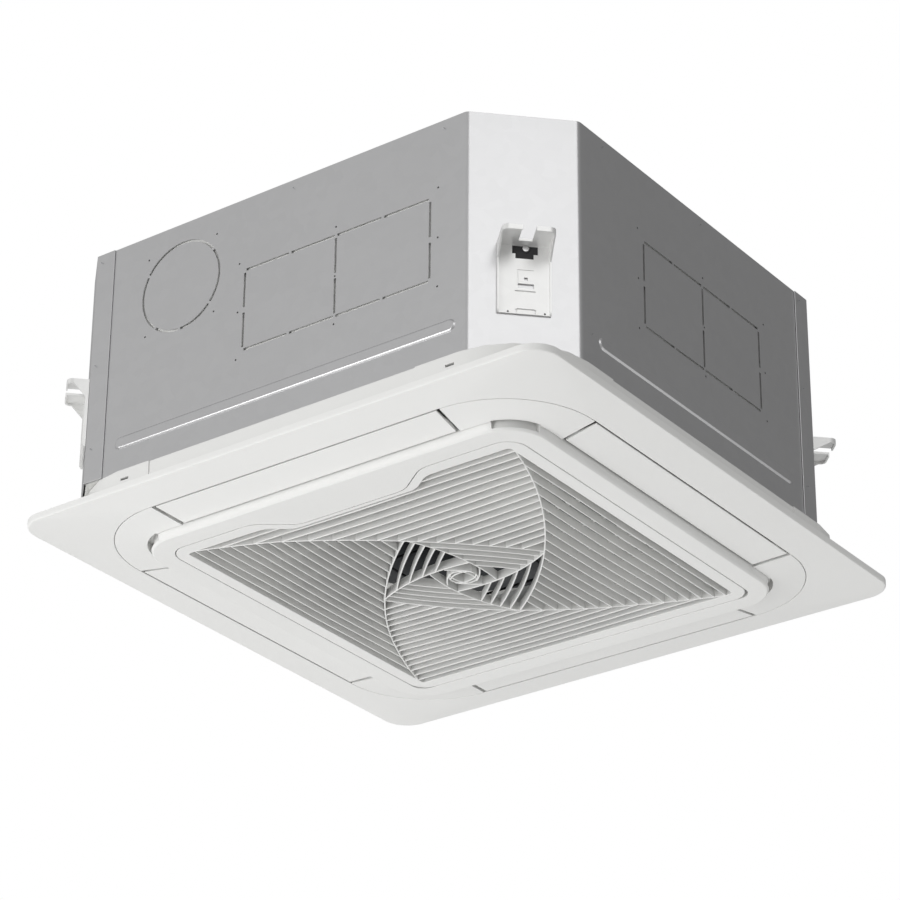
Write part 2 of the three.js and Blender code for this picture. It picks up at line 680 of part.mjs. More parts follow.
// Trapezium of the grille's step on the -Y side, carried on outwards to a distance u.
function jogPrism(jog, u, z0, z1) {
  const slope = (jog.base - jog.top) / ((jog === JOG ? GRILLE : AIR) - jog.y);
  return prism(sidePlan(jog.y, u, (v) => jog.top + slope * (v - jog.y)), z0, z1);
}

// Flat strip and inner wall of the grille round its step.
function jogPlate() {
  const { y, top, base } = JOG_AIR;
  const wider = { y: y - GAP, top: top + GAP, base: base + GAP };
  const strip = jogPrism(wider, AIR + SLAT_T - GAP, FACE_Z + SLAT_STEP, FACE_Z + GRILLE_T - SLAT_STEP);
  const line = [[-base - 1, -AIR - 1], [-top, -y], [top, -y], [base + 1, -AIR - 1]];
  const wall = blade(line, SLAT_T, FACE_Z + 2 * SLAT_STEP, SLAT_TOP + 2 * SLAT_STEP);
  return strip.add(wall);
}

function hingeGrooves() {
  return [-HINGE_X, HINGE_X].map((x) => {
    return rod('x', [HINGE_Y, HINGE_Z], x - LUG_W / 2 - GAP, x + LUG_W / 2 + GAP, KNUCKLE_R + GAP);
  });
}

function grilleKnuckles() {
  return [-HINGE_X, HINGE_X].flatMap((x) => [-1, 1].map((s) => {
    const near = x + s * (LUG_W / 2 + GAP);
    const far = near + s * KNUCKLE_W;
    return rod('x', [HINGE_Y, HINGE_Z], Math.min(near, far), Math.max(near, far), KNUCKLE_R);
  }));
}

function pinHoles() {
  const half = LUG_W / 2 + GAP + KNUCKLE_W + 1;
  return [-HINGE_X, HINGE_X].map((x) => pinHole(x - half, x + half));
}

function hingePin(x) {
  const half = LUG_W / 2 + GAP + KNUCKLE_W;
  return rod('x', [HINGE_Y, HINGE_Z], x - half, x + half, HINGE_PIN_R, 12);
}

// Spring catch under the ledge, its nose against the grille's inner wall.
function grilleCatch(x) {
  const wall = AIR + SLAT_T + GAP;
  const half = CATCH_W / 2;
  const edge = GRILLE + GRILLE_FIT - GAP;
  const body = sideBox(x - half, x + half, wall + 2, edge, FACE_Z + GRILLE_T + 1, SEAT_Z - GAP);
  return body.add(sideBox(x - half / 2, x + half / 2, wall, wall + 3, SLAT_TOP - 4, SLAT_TOP - 1));
}

// Filter frame with its cross bars, laid on the grille behind the slats.
function airFilter() {
  const a = AIR - SKIN_T;
  const front = JOG_AIR.y - 5;
  const [low, t] = [SLAT_TOP + GAP, FILTER_BAR];
  const top = low + FILTER_T;
  const inside = box(t - a, a - t, t - front, a - t, low - CUT, top + CUT);
  const frame = box(-a, a, -front, a, low, top).subtract(inside);
  const bars = Array.from({ length: FILTER_CELLS - 1 }, (_, i) => i + 1).flatMap((cell) => {
    const share = cell / FILTER_CELLS;
    const [x, y] = [2 * a * share - a, (a + front) * share - front];
    return [box(x - t / 2, x + t / 2, t / 2 - front, a - t / 2, low + FILTER_T / 4, top - FILTER_T / 4),
      box(t / 2 - a, a - t / 2, y - t / 2, y + t / 2, low + FILTER_T / 8, top - FILTER_T / 8)];
  });
  return join([frame, ...bars]);
}

// ---------- casing ----------
function frontSheet() {
  const plan = bodyPlan(SKIN);
  const path = [[plan[7][0] + GAP, plan[7][1]], plan[0], plan[1], [plan[2][0], plan[2][1] - GAP]];
  const sheet = bentSheet(path, SHEET, BODY_LOW, BODY_TOP);
  const beads = [bead(BEAD_Y), turned(bead(BEAD_X), 90)];
  const slits = [roundSlit(), ...pairSlits(PAIR_Y), ...pairSlits(PAIR_X).map((s) => turned(s, 90))];
  return cutAll(sheet.add(join(beads)), slits);
}

// Stiffening bead pressed outwards along the foot of a side.
function bead([x0, x1]) {
  const { low, high, out, slope } = BEAD;
  return along([[SKIN - SHEET / 2, low], [SKIN + out, low + slope], [SKIN + out, high - slope],
    [SKIN - SHEET / 2, high]], x0, x1);
}

function roundSlit() {
  const disc = (r) => rod('y', [ROUND.at, ROUND.z], -SKIN - CUT, -SKIN + CUT, r, 24);
  const bridges = ROUND.bridges.map((angle) => {
    const bar = box(-BRIDGE / 2, BRIDGE / 2, -SKIN - CUT, -SKIN + CUT, 0, ROUND.r + CUT);
    return bar.rotate([0, 90 - angle, 0]).translate([ROUND.at, 0, ROUND.z]);
  });
  return cutAll(disc(ROUND.r + SLIT / 2).subtract(disc(ROUND.r - SLIT / 2)), bridges);
}

// Slits round two rectangles side by side, every side in two lengths.
function pairSlits({ from, to, low, high }) {
  const slit = (x0, x1, z0, z1) => sideBox(x0, x1, SKIN - CUT, SKIN + CUT, z0, z1);
  const [w, h] = [(to - from) / 4, (high - low) / 2];
  const flat = [low, high].flatMap((z) => [0, 1, 2, 3].map((i) => {
    return slit(from + w * i + BRIDGE / 2, from + w * (i + 1) - BRIDGE / 2, z - SLIT / 2, z + SLIT / 2);
  }));
  const upright = [from, (from + to) / 2, to].flatMap((x) => [low, low + h].map((z) => {
    return slit(x - SLIT / 2, x + SLIT / 2, z + BRIDGE, z + h - BRIDGE);
  }));
  return [...flat, ...upright];
}

// Holes that pass the two pipes and the drain through the -X side.
function pipeHoles() {
  const hole = (y, z, r) => rod('x', [y, z], -BODY - CUT, -BODY + 2 * LINER_T, r + GAP, 16);
  return [hole(PIPE_Y, GAS.z, GAS.r), hole(PIPE_Y, LIQUID.z, LIQUID.r), hole(DRAIN.y, DRAIN.z, DRAIN.r)];
}

function rearSheet() {
  const plan = bodyPlan(SKIN);
  const path = [[plan[3][0] - GAP, plan[3][1]], plan[4], plan[5], [plan[6][0], plan[6][1] + GAP]];
  return cutAll(bentSheet(path, SHEET, BODY_LOW, BODY_TOP), pipeHoles());
}

// Bent plate over a chamfer, its flanges screwed over the side sheets.
function cornerPlate(index) {
  const plan = bodyPlan(BODY);
  const [before, a, b, after] = [7, 0, 1, 2].map((i) => plan[(index + i) % 8]);
  const [u, v] = [unit(a, before), unit(b, after)];
  const start = [a[0] + u[0] * FLANGE_W, a[1] + u[1] * FLANGE_W];
  const end = [b[0] + v[0] * FLANGE_W, b[1] + v[1] * FLANGE_W];
  return bentSheet([start, a, b, end], SHEET, BODY_LOW, BODY_TOP);
}

function topPlate() {
  const a = SKIN - SHEET - GAP;
  const lip = prism(bodyPlan(a), BODY_TOP - LIP_H, BODY_TOP, [bodyPlan(a - SHEET)]);
  return prism(bodyPlan(a), BODY_TOP - SHEET, BODY_TOP).add(lip);
}

// Hanger bracket on its foot plane x = 0, reaching out to a fork for the hanging rod.
function bracket(reach) {
  const w = BRACKET_W / 2;
  const t = BRACKET_T;
  const top = BRACKET_TOP + t;
  const back = box(0, t, -w, w, BRACKET_LOW, top).subtract(box(-1, t + 1, -8, 8, 128, 133));
  const plate = box(0, reach, -w, w, BRACKET_TOP, top);
  const lips = [box(reach - t, reach, -w, -ROD_SLOT / 2, BRACKET_TOP - t, top),
    box(reach - t, reach, ROD_SLOT / 2, w, BRACKET_TOP - t, top)];
  const flange = [[0, BRACKET_LOW], [BRACKET_FOOT, BRACKET_LOW], [BRACKET_FOOT, FLARE_Z],
    [reach, BRACKET_TOP - t], [reach, top], [0, top]];
  const ear = (y) => turned(along(flange, y, y + t), 90);
  const half = ROD_SLOT / 2;
  const slot = box(reach - ROD_SLOT_L, reach + CUT, -half, half, BRACKET_TOP - CUT, top + CUT);
  return join([back, plate, ...lips, ear(-w), ear(w - t)]).subtract(slot);
}

// Distance of a chamfer's plane from the centre on the corner plates.
function chamferAt(c) {
  return (2 * BODY - c) / Math.SQRT2;
}

function foamLiner() {
  const outer = SKIN - SHEET - GAP - LINER_OUT;
  const ring = prism(bodyPlan(outer), PAN_TOP + GAP, BODY_TOP - SHEET - GAP, [bodyPlan(outer - LINER_T)]);
  return cutAll(ring, pipeHoles());
}

// ---------- inside the body ----------
function drainPan() {
  const slab = prism(bodyPlan(SKIN - SHEET - GAP), BODY_LOW + GAP, PAN_TOP, [circle(PAN_HOLE, 32)]);
  const [out, inner] = [COIL_OUT + 3, COIL_IN - 3];
  const trough = squareTube(out, 43, inner, 9, COIL_LOW - GAP, PAN_TOP + CUT);
  return cutAll(slab, [trough, ...onFourSides(() => [duct(0, PAN_TOP + CUT)])]);
}

// Finned coil bent round the fan, open at the piping corner.
function coil() {
  const core = squareTube(COIL_IN + COIL_CORE, 17, COIL_IN, 12, COIL_LOW, COIL_TOP, 4);
  const fins = onFourSides(() => Array.from({ length: FINS }, (_, i) => {
    const x = (i - (FINS - 1) / 2) * FIN_PITCH;
    return sideBox(x - FIN_T / 2, x + FIN_T / 2, COIL_IN + 2, COIL_OUT, COIL_LOW, COIL_TOP);
  }));
  const corner = box(-COIL_OUT - CUT, -COIL_GAP, -COIL_OUT - CUT, -COIL_GAP, COIL_LOW - CUT, COIL_TOP + CUT);
  return join([core, ...fins]).subtract(corner);
}

// The coil's four legs, mitred where it bends.
function coilLegs() {
  const whole = coil();
  const [apart, far] = [GAP * Math.SQRT1_2, COIL_OUT + CUT];
  const outline = [[0, -apart], [far, -far - apart], [-far, -far - apart]];
  const wedge = prism(outline, COIL_LOW - CUT, COIL_TOP + CUT);
  return [0, 90, 180, 270].map((angle) => whole.intersect(turned(wedge, angle)));
}

// Tube plate at the end of the coil's -Y leg, or of its -X leg when turned.
function tubePlate() {
  return box(-COIL_GAP - GAP - TUBE_PLATE_T, -COIL_GAP - GAP, -COIL_OUT, -COIL_IN, COIL_LOW, COIL_TOP);
}

function bellMouth() {
  const t = MOUTH_T;
  const [low, mid, top] = [BODY_LOW - t, BODY_LOW + 16, FAN_LOW + 8];
  const under = [[THROAT_R, top], [THROAT_R, FAN_LOW - 10], [THROAT_R + 6, mid - 2],
    [THROAT_R + 20, low + 2], [MOUTH_R, low]];
  const above = [[MOUTH_R, BODY_LOW], [THROAT_R + 28, BODY_LOW], [THROAT_R + 21, low + 4],
    [THROAT_R + 7.6, mid], [THROAT_R + t, FAN_LOW - 9], [THROAT_R + t, top]];
  return lathe([...under, ...above], 20);
}

function turboFan() {
  const bore = SHAFT_R + GAP;
  const cone = BOSS_LOW + 14;
  const hub = lathe([[bore, BOSS_LOW], [BOSS_R, BOSS_LOW], [BOSS_R, cone], [HUB_IN, cone],
    [HUB_OUT, FAN_TOP - FAN_T], [FAN_R, FAN_TOP - FAN_T], [FAN_R, FAN_TOP], [HUB_OUT - 2, FAN_TOP],
    [HUB_IN - 2, cone + FAN_T], [bore, cone + FAN_T]], 20);
  const shroud = lathe([[EYE_R, FAN_LOW], [EYE_R + 2.4, FAN_LOW], [EYE_R + 5, FAN_LOW + 10],
    [FAN_R, FAN_LOW + 24], [FAN_R, FAN_LOW + 26.4], [EYE_R + 4, FAN_LOW + 12.6]], 20);
  const rise = 13.5 / (FAN_R - EYE_R - 4);
  const low = (x, y) => FAN_LOW + 12 + rise * Math.max(0, Math.hypot(x, y) - EYE_R - 4);
  const line = arcPoints([FAN_R - 46, -28], [FAN_R - 22, 72], 90, 5);
  const blades = Array.from({ length: BLADES }, (_, i) => {
    return turned(blade(line, FAN_T, low, FAN_TOP - 1), 360 * i / BLADES);
  });
  return join([hub, shroud, ...blades]);
}

function motorShaft() {
  return rod('z', [0, 0], BOSS_LOW - NUT_H - 3, MOTOR_LOW + 12, SHAFT_R, 20);
}

function fanNut() {
  const top = BOSS_LOW - GAP;
  const nut = rod('z', [0, 0], top - NUT_H, top, BOSS_R - 1, 6);
  return nut.subtract(rod('z', [0, 0], top - NUT_H - CUT, top + CUT, SHAFT_R + GAP, 20));
}

function fanMotor() {
  const bore = SHAFT_R + GAP;
  const [low, top, round] = [MOTOR_LOW, MOTOR_TOP, 4];
  const can = lathe([[bore, low], [MOTOR_R - round, low], [MOTOR_R, low + round + 1], [MOTOR_R, top - round],
    [MOTOR_R - round, top], [0, top], [0, low + 13], [bore, low + 13]], 16);
  return can.add(lathe([[MOTOR_R - 2, top - 16], [MOTOR_FLANGE, top - 16], [MOTOR_FLANGE, top - 12],
    [MOTOR_R - 2, top - 12]], 16));
}

function motorPost(i) {
  const post = rod('z', [POST_AT, 0], MOTOR_TOP - 12 + GAP, BODY_TOP - SHEET - GAP, POST_R);
  return turned(post, 120 * i + 30);
}

// ---------- electrical box, beside the air inlet ----------
function controlBox() {
  const { half, from, to, low, t } = BOX;
  const inside = box(t - half, half - t, from + t, to - t, low - CUT, BODY_LOW - t);
  return box(-half, half, from, to, low, BODY_LOW).subtract(inside);
}

function controlCover() {
  const { half, from, to, low, t } = BOX;
  return box(-half, half, from, to, low - GAP - t, low - GAP);
}

function controlBoard() {
  const top = BODY_LOW - BOX.t - GAP;
  const board = box(-60, BOX.half - 10, BOX.from + 4, BOX.to - 4, top - 1.6, top);
  const tall = [[-50, -24, 14], [-10, 12, 18], [30, 52, 12], [70, 90, 16], [110, 140, 10]];
  const parts = tall.map(([x0, x1, h]) => {
    return box(x0, x1, BOX.from + 9, BOX.to - 10, top - 1 - h, top - 1);
  });
  return join([board, ...parts]);
}

function terminalBlock() {
  const top = BODY_LOW - BOX.t - GAP;
  const base = box(-152, -72, BOX.from + 7, BOX.to - 8, top - 14, top);
  const ways = [0, 1, 2, 3, 4].map((i) => {
    return box(-148 + 15 * i, -136 + 15 * i, BOX.from + 6, BOX.to - 7, top - 20, top - 9);
  });
  return base.subtract(join(ways));
}

// ---------- pipes and drain ----------
function gasPipe() {
  const bend = -(COIL_OUT + COIL_IN) / 2;
  const stub = rod('x', [PIPE_Y, GAS.z], STUB_END, bend + GAS.r, GAS.r);
  return stub.add(rod('y', [bend, GAS.z], PIPE_Y - GAS.r, -COIL_GAP - 2 * GAP - TUBE_PLATE_T, GAS.r));
}

function liquidPipe() {
  return rod('x', [PIPE_Y, LIQUID.z], STUB_END, -COIL_GAP - 2 * GAP - TUBE_PLATE_T, LIQUID.r);
}

function flareNut({ z, r }) {
  const nut = rod('x', [PIPE_Y, z], STUB_END + 2, STUB_END + 2 + NUT_LEN, r + 6, 6);
  return nut.subtract(rod('x', [PIPE_Y, z], STUB_END - CUT, STUB_END + NUT_LEN + CUT, r + GAP));
}

function drainOutlet() {
  const tube = rod('x', [DRAIN.y, DRAIN.z], DRAIN.end, DRAIN.inner, DRAIN.r, 16);
  return tube.subtract(rod('x', [DRAIN.y, DRAIN.z], DRAIN.end - CUT, DRAIN.inner - 6, DRAIN.bore, 16));
}

function drainPump() {
  const at = [PUMP.x, DRAIN.y];
  const body = rod('z', at, PAN_TOP + GAP, PUMP.top, PUMP.r, 20);
  const riser = rod('z', at, PUMP.top - 1, DRAIN.z + PUMP.riser, PUMP.riser);
  return join([body, riser, rod('x', [DRAIN.y, DRAIN.z], DRAIN.inner + GAP, PUMP.x, PUMP.riser)]);
}

function floatSwitch() {
  const at = [FLOAT.x, FLOAT.y];
  const body = rod('z', at, PAN_TOP + GAP, FLOAT.top, FLOAT.r);
  return body.add(rod('z', at, FLOAT.top - 1, FLOAT.top + 18, FLOAT.r / 3, 12));
}

// ---------- materials and assembly ----------
const STYLES = {
  white: [0xe9e9e6, 0.5, 0],
  foam: [0xf2f2ee, 0.95, 0],
  zinc: [0xb9bbbc, 0.42, 0.75],
  bright: [0xd6d8d8, 0.35, 0.8],
  coil: [0xaeb4b8, 0.45, 0.8],
  copper: [0xb87348, 0.35, 0.9],
  board: [0x2e5d46, 0.6, 0],
  black: [0x1b1c1e, 0.6, 0],
  dark: [0x3a3d40, 0.55, 0],
  steel: [0x8f9295, 0.35, 0.85],
};

const airConditioner = new THREE.Group();
const SIDES = ['near_left', 'near_right', 'far_right', 'far_left']; // -Y, +X, +Y, -X
const CORNERS = ['near', 'right', 'far', 'left']; // +X -Y, +X +Y, -X +Y, -X -Y

function add(name, body, style) {
  const data = body.getMesh();
  const g = new THREE.BufferGeometry();
  const positions = new Float32Array(data.numVert * 3);
  for (let i = 0; i < data.numVert; i++) {
    positions.set(data.vertProperties.subarray(i * data.numProp, i * data.numProp + 3), i * 3);
  }
  g.setAttribute('position', new THREE.BufferAttribute(positions, 3));
  g.setIndex(new THREE.BufferAttribute(data.triVerts, 1));
  g.computeVertexNormals();
  const [color, roughness, metalness] = STYLES[style];
  const look = new THREE.MeshStandardMaterial({ color, roughness, metalness, flatShading: true });
  const mesh = new THREE.Mesh(g, look);
  mesh.name = name;
  airConditioner.add(mesh);
  return mesh;
}

// The same piece on all four sides or corners.
function addFour(prefix, names, body, style) {
  names.forEach((n, i) => {
    add(`${prefix}_${n}`, body, style).rotation.z = i * Math.PI / 2;
  });
}

function addBrackets() {
  const bare = SKIN - BODY; // two chamfers have no corner plate
  const planes = [chamferAt(NEAR_C) + bare, chamferAt(RIGHT_C), chamferAt(FAR_C) + bare, chamferAt(LEFT_C)];
  const reaches = [REACH, REACH, REACH, SHORT_REACH];
  CORNERS.forEach((n, i) => {
    const angle = (i - 0.5) * Math.PI / 2;
    const mesh = add(`hanger_bracket_${n}`, bracket(reaches[i]), 'bright');
    mesh.rotation.z = angle;
    mesh.position.set(Math.cos(angle) * (planes[i] + GAP), Math.sin(angle) * (planes[i] + GAP), 0);
  });
}

add('panel_frame', panelFrame(), 'white');
add('panel_housing', panelHousing(), 'white');
addFour('corner_cover', CORNERS, cornerCover(), 'white');
addFour('vane', SIDES, vane(), 'white');
addFour('vane_motor', SIDES, vaneMotor(), 'steel');
add('intake_grille', intakeGrille(), 'white');
add('grille_hinge_pin_left', hingePin(-HINGE_X), 'steel');
add('grille_hinge_pin_right', hingePin(HINGE_X), 'steel');
add('grille_catch_left', grilleCatch(-CATCH_X), 'white');
add('grille_catch_right', grilleCatch(CATCH_X), 'white');
add('air_filter', airFilter(), 'dark');
add('receiver_board', receiverBoard(), 'board');

add('front_sheet', frontSheet(), 'zinc');
add('rear_sheet', rearSheet(), 'zinc');
add('corner_plate_right', cornerPlate(2), 'zinc');
add('corner_plate_left', cornerPlate(6), 'zinc');
add('top_plate', topPlate(), 'zinc');
addBrackets();

add('foam_liner', foamLiner(), 'foam');
add('drain_pan', drainPan(), 'foam');
coilLegs().forEach((leg, i) => add(`coil_leg_${SIDES[i]}`, leg, 'coil'));
add('tube_plate_near', tubePlate(), 'zinc');
add('tube_plate_left', tubePlate().mirror([1, -1, 0]), 'zinc');
add('bell_mouth', bellMouth(), 'dark');
add('turbo_fan', turboFan(), 'dark');
add('motor_shaft', motorShaft(), 'steel');
add('fan_nut', fanNut(), 'steel');
add('fan_motor', fanMotor(), 'steel');
[0, 1, 2].forEach((i) => add(`motor_post_${i + 1}`, motorPost(i), 'black'));
add('control_box', controlBox(), 'zinc');
add('control_box_cover', controlCover(), 'zinc');
add('control_board', controlBoard(), 'board');
add('terminal_block', terminalBlock(), 'black');
add('gas_pipe', gasPipe(), 'copper');
add('gas_flare_nut', flareNut(GAS), 'copper');
add('liquid_pipe', liquidPipe(), 'copper');
add('liquid_flare_nut', flareNut(LIQUID), 'copper');
add('drain_outlet', drainOutlet(), 'dark');
add('drain_pump', drainPump(), 'dark');
add('float_switch', floatSwitch(), 'white');

export default airConditioner;
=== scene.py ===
"""Looks of a compact four-way ceiling cassette air conditioner, hung as in use and seen from below.

Sizes are in millimetres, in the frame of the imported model, and become metres when a mesh is made.
"""

import json
import math

import bmesh
import bpy
from mathutils import Matrix, Vector

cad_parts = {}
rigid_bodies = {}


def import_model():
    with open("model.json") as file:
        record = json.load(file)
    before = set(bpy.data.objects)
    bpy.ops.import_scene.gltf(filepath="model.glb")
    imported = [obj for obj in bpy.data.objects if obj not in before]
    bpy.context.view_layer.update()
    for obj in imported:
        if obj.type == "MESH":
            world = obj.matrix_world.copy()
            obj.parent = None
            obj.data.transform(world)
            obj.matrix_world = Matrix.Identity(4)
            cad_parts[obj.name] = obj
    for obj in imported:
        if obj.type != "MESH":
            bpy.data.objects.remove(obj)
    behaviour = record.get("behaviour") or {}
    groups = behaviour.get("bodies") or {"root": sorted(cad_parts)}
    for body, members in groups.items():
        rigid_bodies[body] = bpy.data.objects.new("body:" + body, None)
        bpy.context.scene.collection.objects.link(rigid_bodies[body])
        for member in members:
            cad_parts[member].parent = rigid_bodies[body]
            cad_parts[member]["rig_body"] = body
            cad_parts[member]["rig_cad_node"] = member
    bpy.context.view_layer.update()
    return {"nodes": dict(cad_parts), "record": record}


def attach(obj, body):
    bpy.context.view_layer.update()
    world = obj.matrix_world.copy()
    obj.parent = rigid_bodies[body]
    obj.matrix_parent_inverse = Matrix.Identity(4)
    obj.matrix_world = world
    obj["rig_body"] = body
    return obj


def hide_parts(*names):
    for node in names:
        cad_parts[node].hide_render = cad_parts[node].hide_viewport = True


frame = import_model()

MM = 0.001
NODES = frame["nodes"]
SIDES = ["near_left", "near_right", "far_right", "far_left"]  # -Y, +X, +Y, -X
CORNERS = ["near", "right", "far", "left"]

# ---------- camera and light, in metres ----------
CAMERA_AT = Vector((1.7555, -2.3999, -1.409))
CAMERA_LOOK = Vector((-0.52658, 0.71353, 0.46215))
CAMERA_ROLL = math.radians(0.43)
CAMERA_LENS = 134.0
SENSOR = 36.0
FRAMING = (-1.6 / 900, 0.6 / 900)  # shift of the picture's middle
FLOOR_Z, FLOOR_HALF = -2.6, 9
LAMPS = [  # name, place, size and watts
    ("key", (-1.2, -3.2, -1.0), 2.2, 60),
    ("below", (-0.8, 0.5, -2.3), 2.5, 35),
    ("glint", (2.3, -1.7, 1.45), 1.6, 10),
    ("right", (2.4, 1.3, -1.1), 2.4, 10),
]
LAMP_AIM = Vector((0, 0, 0.12))
SKY_LEVEL, SKY_SLOPE, SKY_WAY = 0.46, 0.24, Vector((-0.3, -0.85, -0.3))

# ---------- fits ----------
GAP = 0.3  # between neighbouring pieces
LAP = 0.2  # of parts that are united
CUT = 5  # how far a cutting tool reaches past what it cuts

# ---------- decoration panel: half widths, corner radii and heights ----------
PANEL, PANEL_R = 310, 27
SEAM, SEAM_R = 271.5, 99.6
BASE, BASE_R = 231, 45
CORNER_C = BASE - BASE_R  # centre of the corner radii
FOOT_W, FOOT_BEND = 4.2, 1.2
SKIN_T = 3
FACE_Z, BASE_Z, SEAM_Z, RIM_Z, CEILING = 4, 12, 16, 20, 27
RIM_SOFT, SEAM_SOFT, FACE_SOFT = 2.4, 0.8, 0.8
SEAM_FIT = 0.4
COVER_T, COVER_SOFT, COVER_IN_SOFT = 2.2, 0.6, 0.5
GRILLE, GRILLE_R, GRILLE_T, GRILLE_FIT = 205.5, 20, 3.2, 1
SEAT, SEAT_R, SEAT_Z = 196, 12, 18
SLOT_IN, SLOT_OUT = 165.2, 170.3
NOTCH_IN, NOTCH_OUT, NOTCH_HALF = 41.2, 47.6, 30
NOTCH_LOW, NOTCH_TOP = 6.6, 23
JOG_Y, JOG_TOP, JOG_BASE = 178.8, 63, 100
JOG_FIT, JOG_ROUND, JOG_RUN = 0.6, 9, 20
JOG_HALF = 150  # past the step's widest place
JOG_CUT = (-1, 16)  # from below the face to above the wall round the slats
WEDGE_IN, WEDGE_OUT, WEDGE_RUN, WEDGE_TOP = BASE - 15, SEAM + 9, 20, 30  # cuts out a corner cover
SHELF_T = 10

# ---------- swirl grille ----------
AIR, AIR_R = 191.5, 3.4
AIR_WALL = 13.5  # top of the wall round the slats
SLAT_T, SLAT_H = 1.6, 9.4
SLAT_FIRST, SLAT_PITCH, SLATS = 183, 11.8, 15
ARC_R, ARC_FROM = 565, (192.3, -184)
SQUARE = 97
SUB_R, SUB_TO, SUB_PITCH, SUB_SLATS = 188, 23.5, 11, 4
HUB_R = 14
HUB_BOW = (12, 145)  # degrees between which a rib bows across the hub
HUB_ARM, HUB_ARM_R = 6, 60
ARC_LIFT, SLAT_LIFT = 0.06, 0.12  # keep crossing edges from lying in one face
JOG_AIR_Y, JOG_AIR_TOP, JOG_AIR_BASE = 174.5, 72.5, 95
RIB_AT = [118, 75, 35, -10, -53, -96]  # stiffening ribs across the slats
RIB_LOW, RIB_H = 7.4, 4
HINGE_X, HINGE_Y, HINGE_Z = 120, 196, 7.3
KNUCKLE_R, LUG_HALF, KNUCKLE_W = 2.4, 2, 6
SWING_R, SWING_Z = 15, 12

# ---------- casing ----------
BODY_LOW, BODY_TOP = 58, 314
BODY, SKIN, SHEET = 285, 283.7, 1
NEAR_C, RIGHT_C, FAR_C, LEFT_C = 76, 83, 76, 37
BEND = 3.4  # of the front sheet's rolled edges
SLIT, BRIDGE = 2.7, 3
ROUND_AT, ROUND_Z, ROUND_R = -136, 243, 48.5
ROUND_BRIDGES = (36, 150, 230, 270, 320)
PAIR_Y = (-54.5, 167, 144.5, 232.5)  # from, to, low, high
PAIR_X = (-102, 105, 142.5, 235)
BEAD_Z, BEAD_R = 90, 7
BEAD_Y, BEAD_X = (-211, 197), (-181, 160)
BEAD_SECTION = [  # share of the radius, and rise
    (1, -0.3), (0.95, 0.05), (0.87, 0.5), (0.77, 1.2), (0.7, 1.5), (0.6, 1.6),
]
PIN_HOLE, PIN_OFF = 1.05, 43.5
HOLES_Y = [(x, z) for x in (-62, 56, 176) for z in (242, 188, 136)]
HOLES_Y += [(ROUND_AT + x, ROUND_Z + z) for x in (-PIN_OFF, PIN_OFF) for z in (-PIN_OFF, PIN_OFF)]
HOLES_X = [(y, z) for y in (-112, 3, 115) for z in (245, 190, 136)]
SCREW_TURN = [(0.001, -0.6), (2.7, -0.6), (2.8, 0.3), (2.5, 0.9), (1.8, 1.35), (0.9, 1.6), (0.001, 1.65)]
RECESS, RECESS_HALF, RECESS_Z, RECESS_TOP = 1.6, 0.35, 0.8, 3
SCREWS_Y = [(3, 305), (183, 305)]
SCREWS_X = [(-170, 304.5), (2, 304.5), (-192, 92)]
SCREWS_LEFT = [(-241, 305), (-241, 187), (-241, 95)]  # on the left corner plate's flange
SCREWS_RIGHT = [(186, 305), (186, 203), (186, 93)]
SCREWS_FAR_Y = [(-150, 304.5), (0, 304.5), (150, 304.5)]
SCREWS_FAR_X = SCREWS_FAR_Y[:2]
THROAT_R, MOUTH_R, MOUTH_T, FAN_LOW = 112, 151, 2.4, 104
ROUND_PIECES = ["fan_motor", "motor_post_1", "motor_post_2", "motor_post_3", "gas_pipe", "gas_flare_nut",
                "liquid_pipe", "liquid_flare_nut", "drain_outlet", "drain_pump", "float_switch"]
TURNING_PIECES = ["turbo_fan", "motor_shaft", "fan_nut"]

# ---------- hanger bracket: x outwards from the body, y to the side ----------
BRACKET_W, BRACKET_T, BRACKET_SHEET = 50, 2.5, 1.5
BRACKET_LOW, BRACKET_TOP = 100, 172
BRACKET_FOOT, FLARE_Z, FLARE_BACK = 3.5, 156, 7
NOSE_R = 7
ROD_SLOT, ROD_SLOT_L = 13, 24
REACHES = {"near": 34, "right": 34, "far": 34, "left": 22}
BRACKET_MARKS = [  # from and to along y, from and to in height, and how far from the body the mark starts
    (-11, 13, 163, 171.7, -1),  # window, with its narrower foot
    (-8, 9, 158, 164, -1),
    (0, 3.4, 135, 138.4, -1),  # eye
    (-5.9, 9.1, 126.8, 131.8, -1),  # slot mouth and the crease under it
    (-8.6, 10.5, 123, 124.5, 0.4),
    (-6.8, 9.6, 104.2, 105.6, 0.3),  # tab
    (-8, -6.6, 101, 105, 0.3),
    (9.4, 10.8, 100.6, 105, 0.3),
    (-6.3, 9, 145.4, 146.4, 0.9),  # thin frame round the eye
    (-6.3, -5.4, 131, 146, 0.9),
]
BRACKET_HOLES, BRACKET_HOLE_R = (-15, 19), 1.1
# corners of a thin black plate behind each bracket window, painted shade of the hollow there
SHADE_PLATE_LOW, SHADE_PLATE_HIGH = (0.1, -10.8, 158.3), (0.5, 12.8, 171.5)
BOLT_AT, BOLT_R, BOLT_OUT = (1.5, 168.5), 3.2, 2.6


# ---------- meshes ----------
def new_object(name, verts, faces, edges=()):
    """A mesh from corners in millimetres."""
    mesh = bpy.data.meshes.new(name)
    mesh.from_pydata([tuple(c * MM for c in v) for v in verts], edges, faces)
    obj = bpy.data.objects.new(name, mesh)
    bpy.context.scene.collection.objects.link(obj)
    return obj


def quarter_turned(obj, turns):
    """Turns the mesh about the vertical by quarter turns."""
    obj.data.transform(Matrix.Rotation(turns * math.pi / 2, 4, "Z"))
    return obj


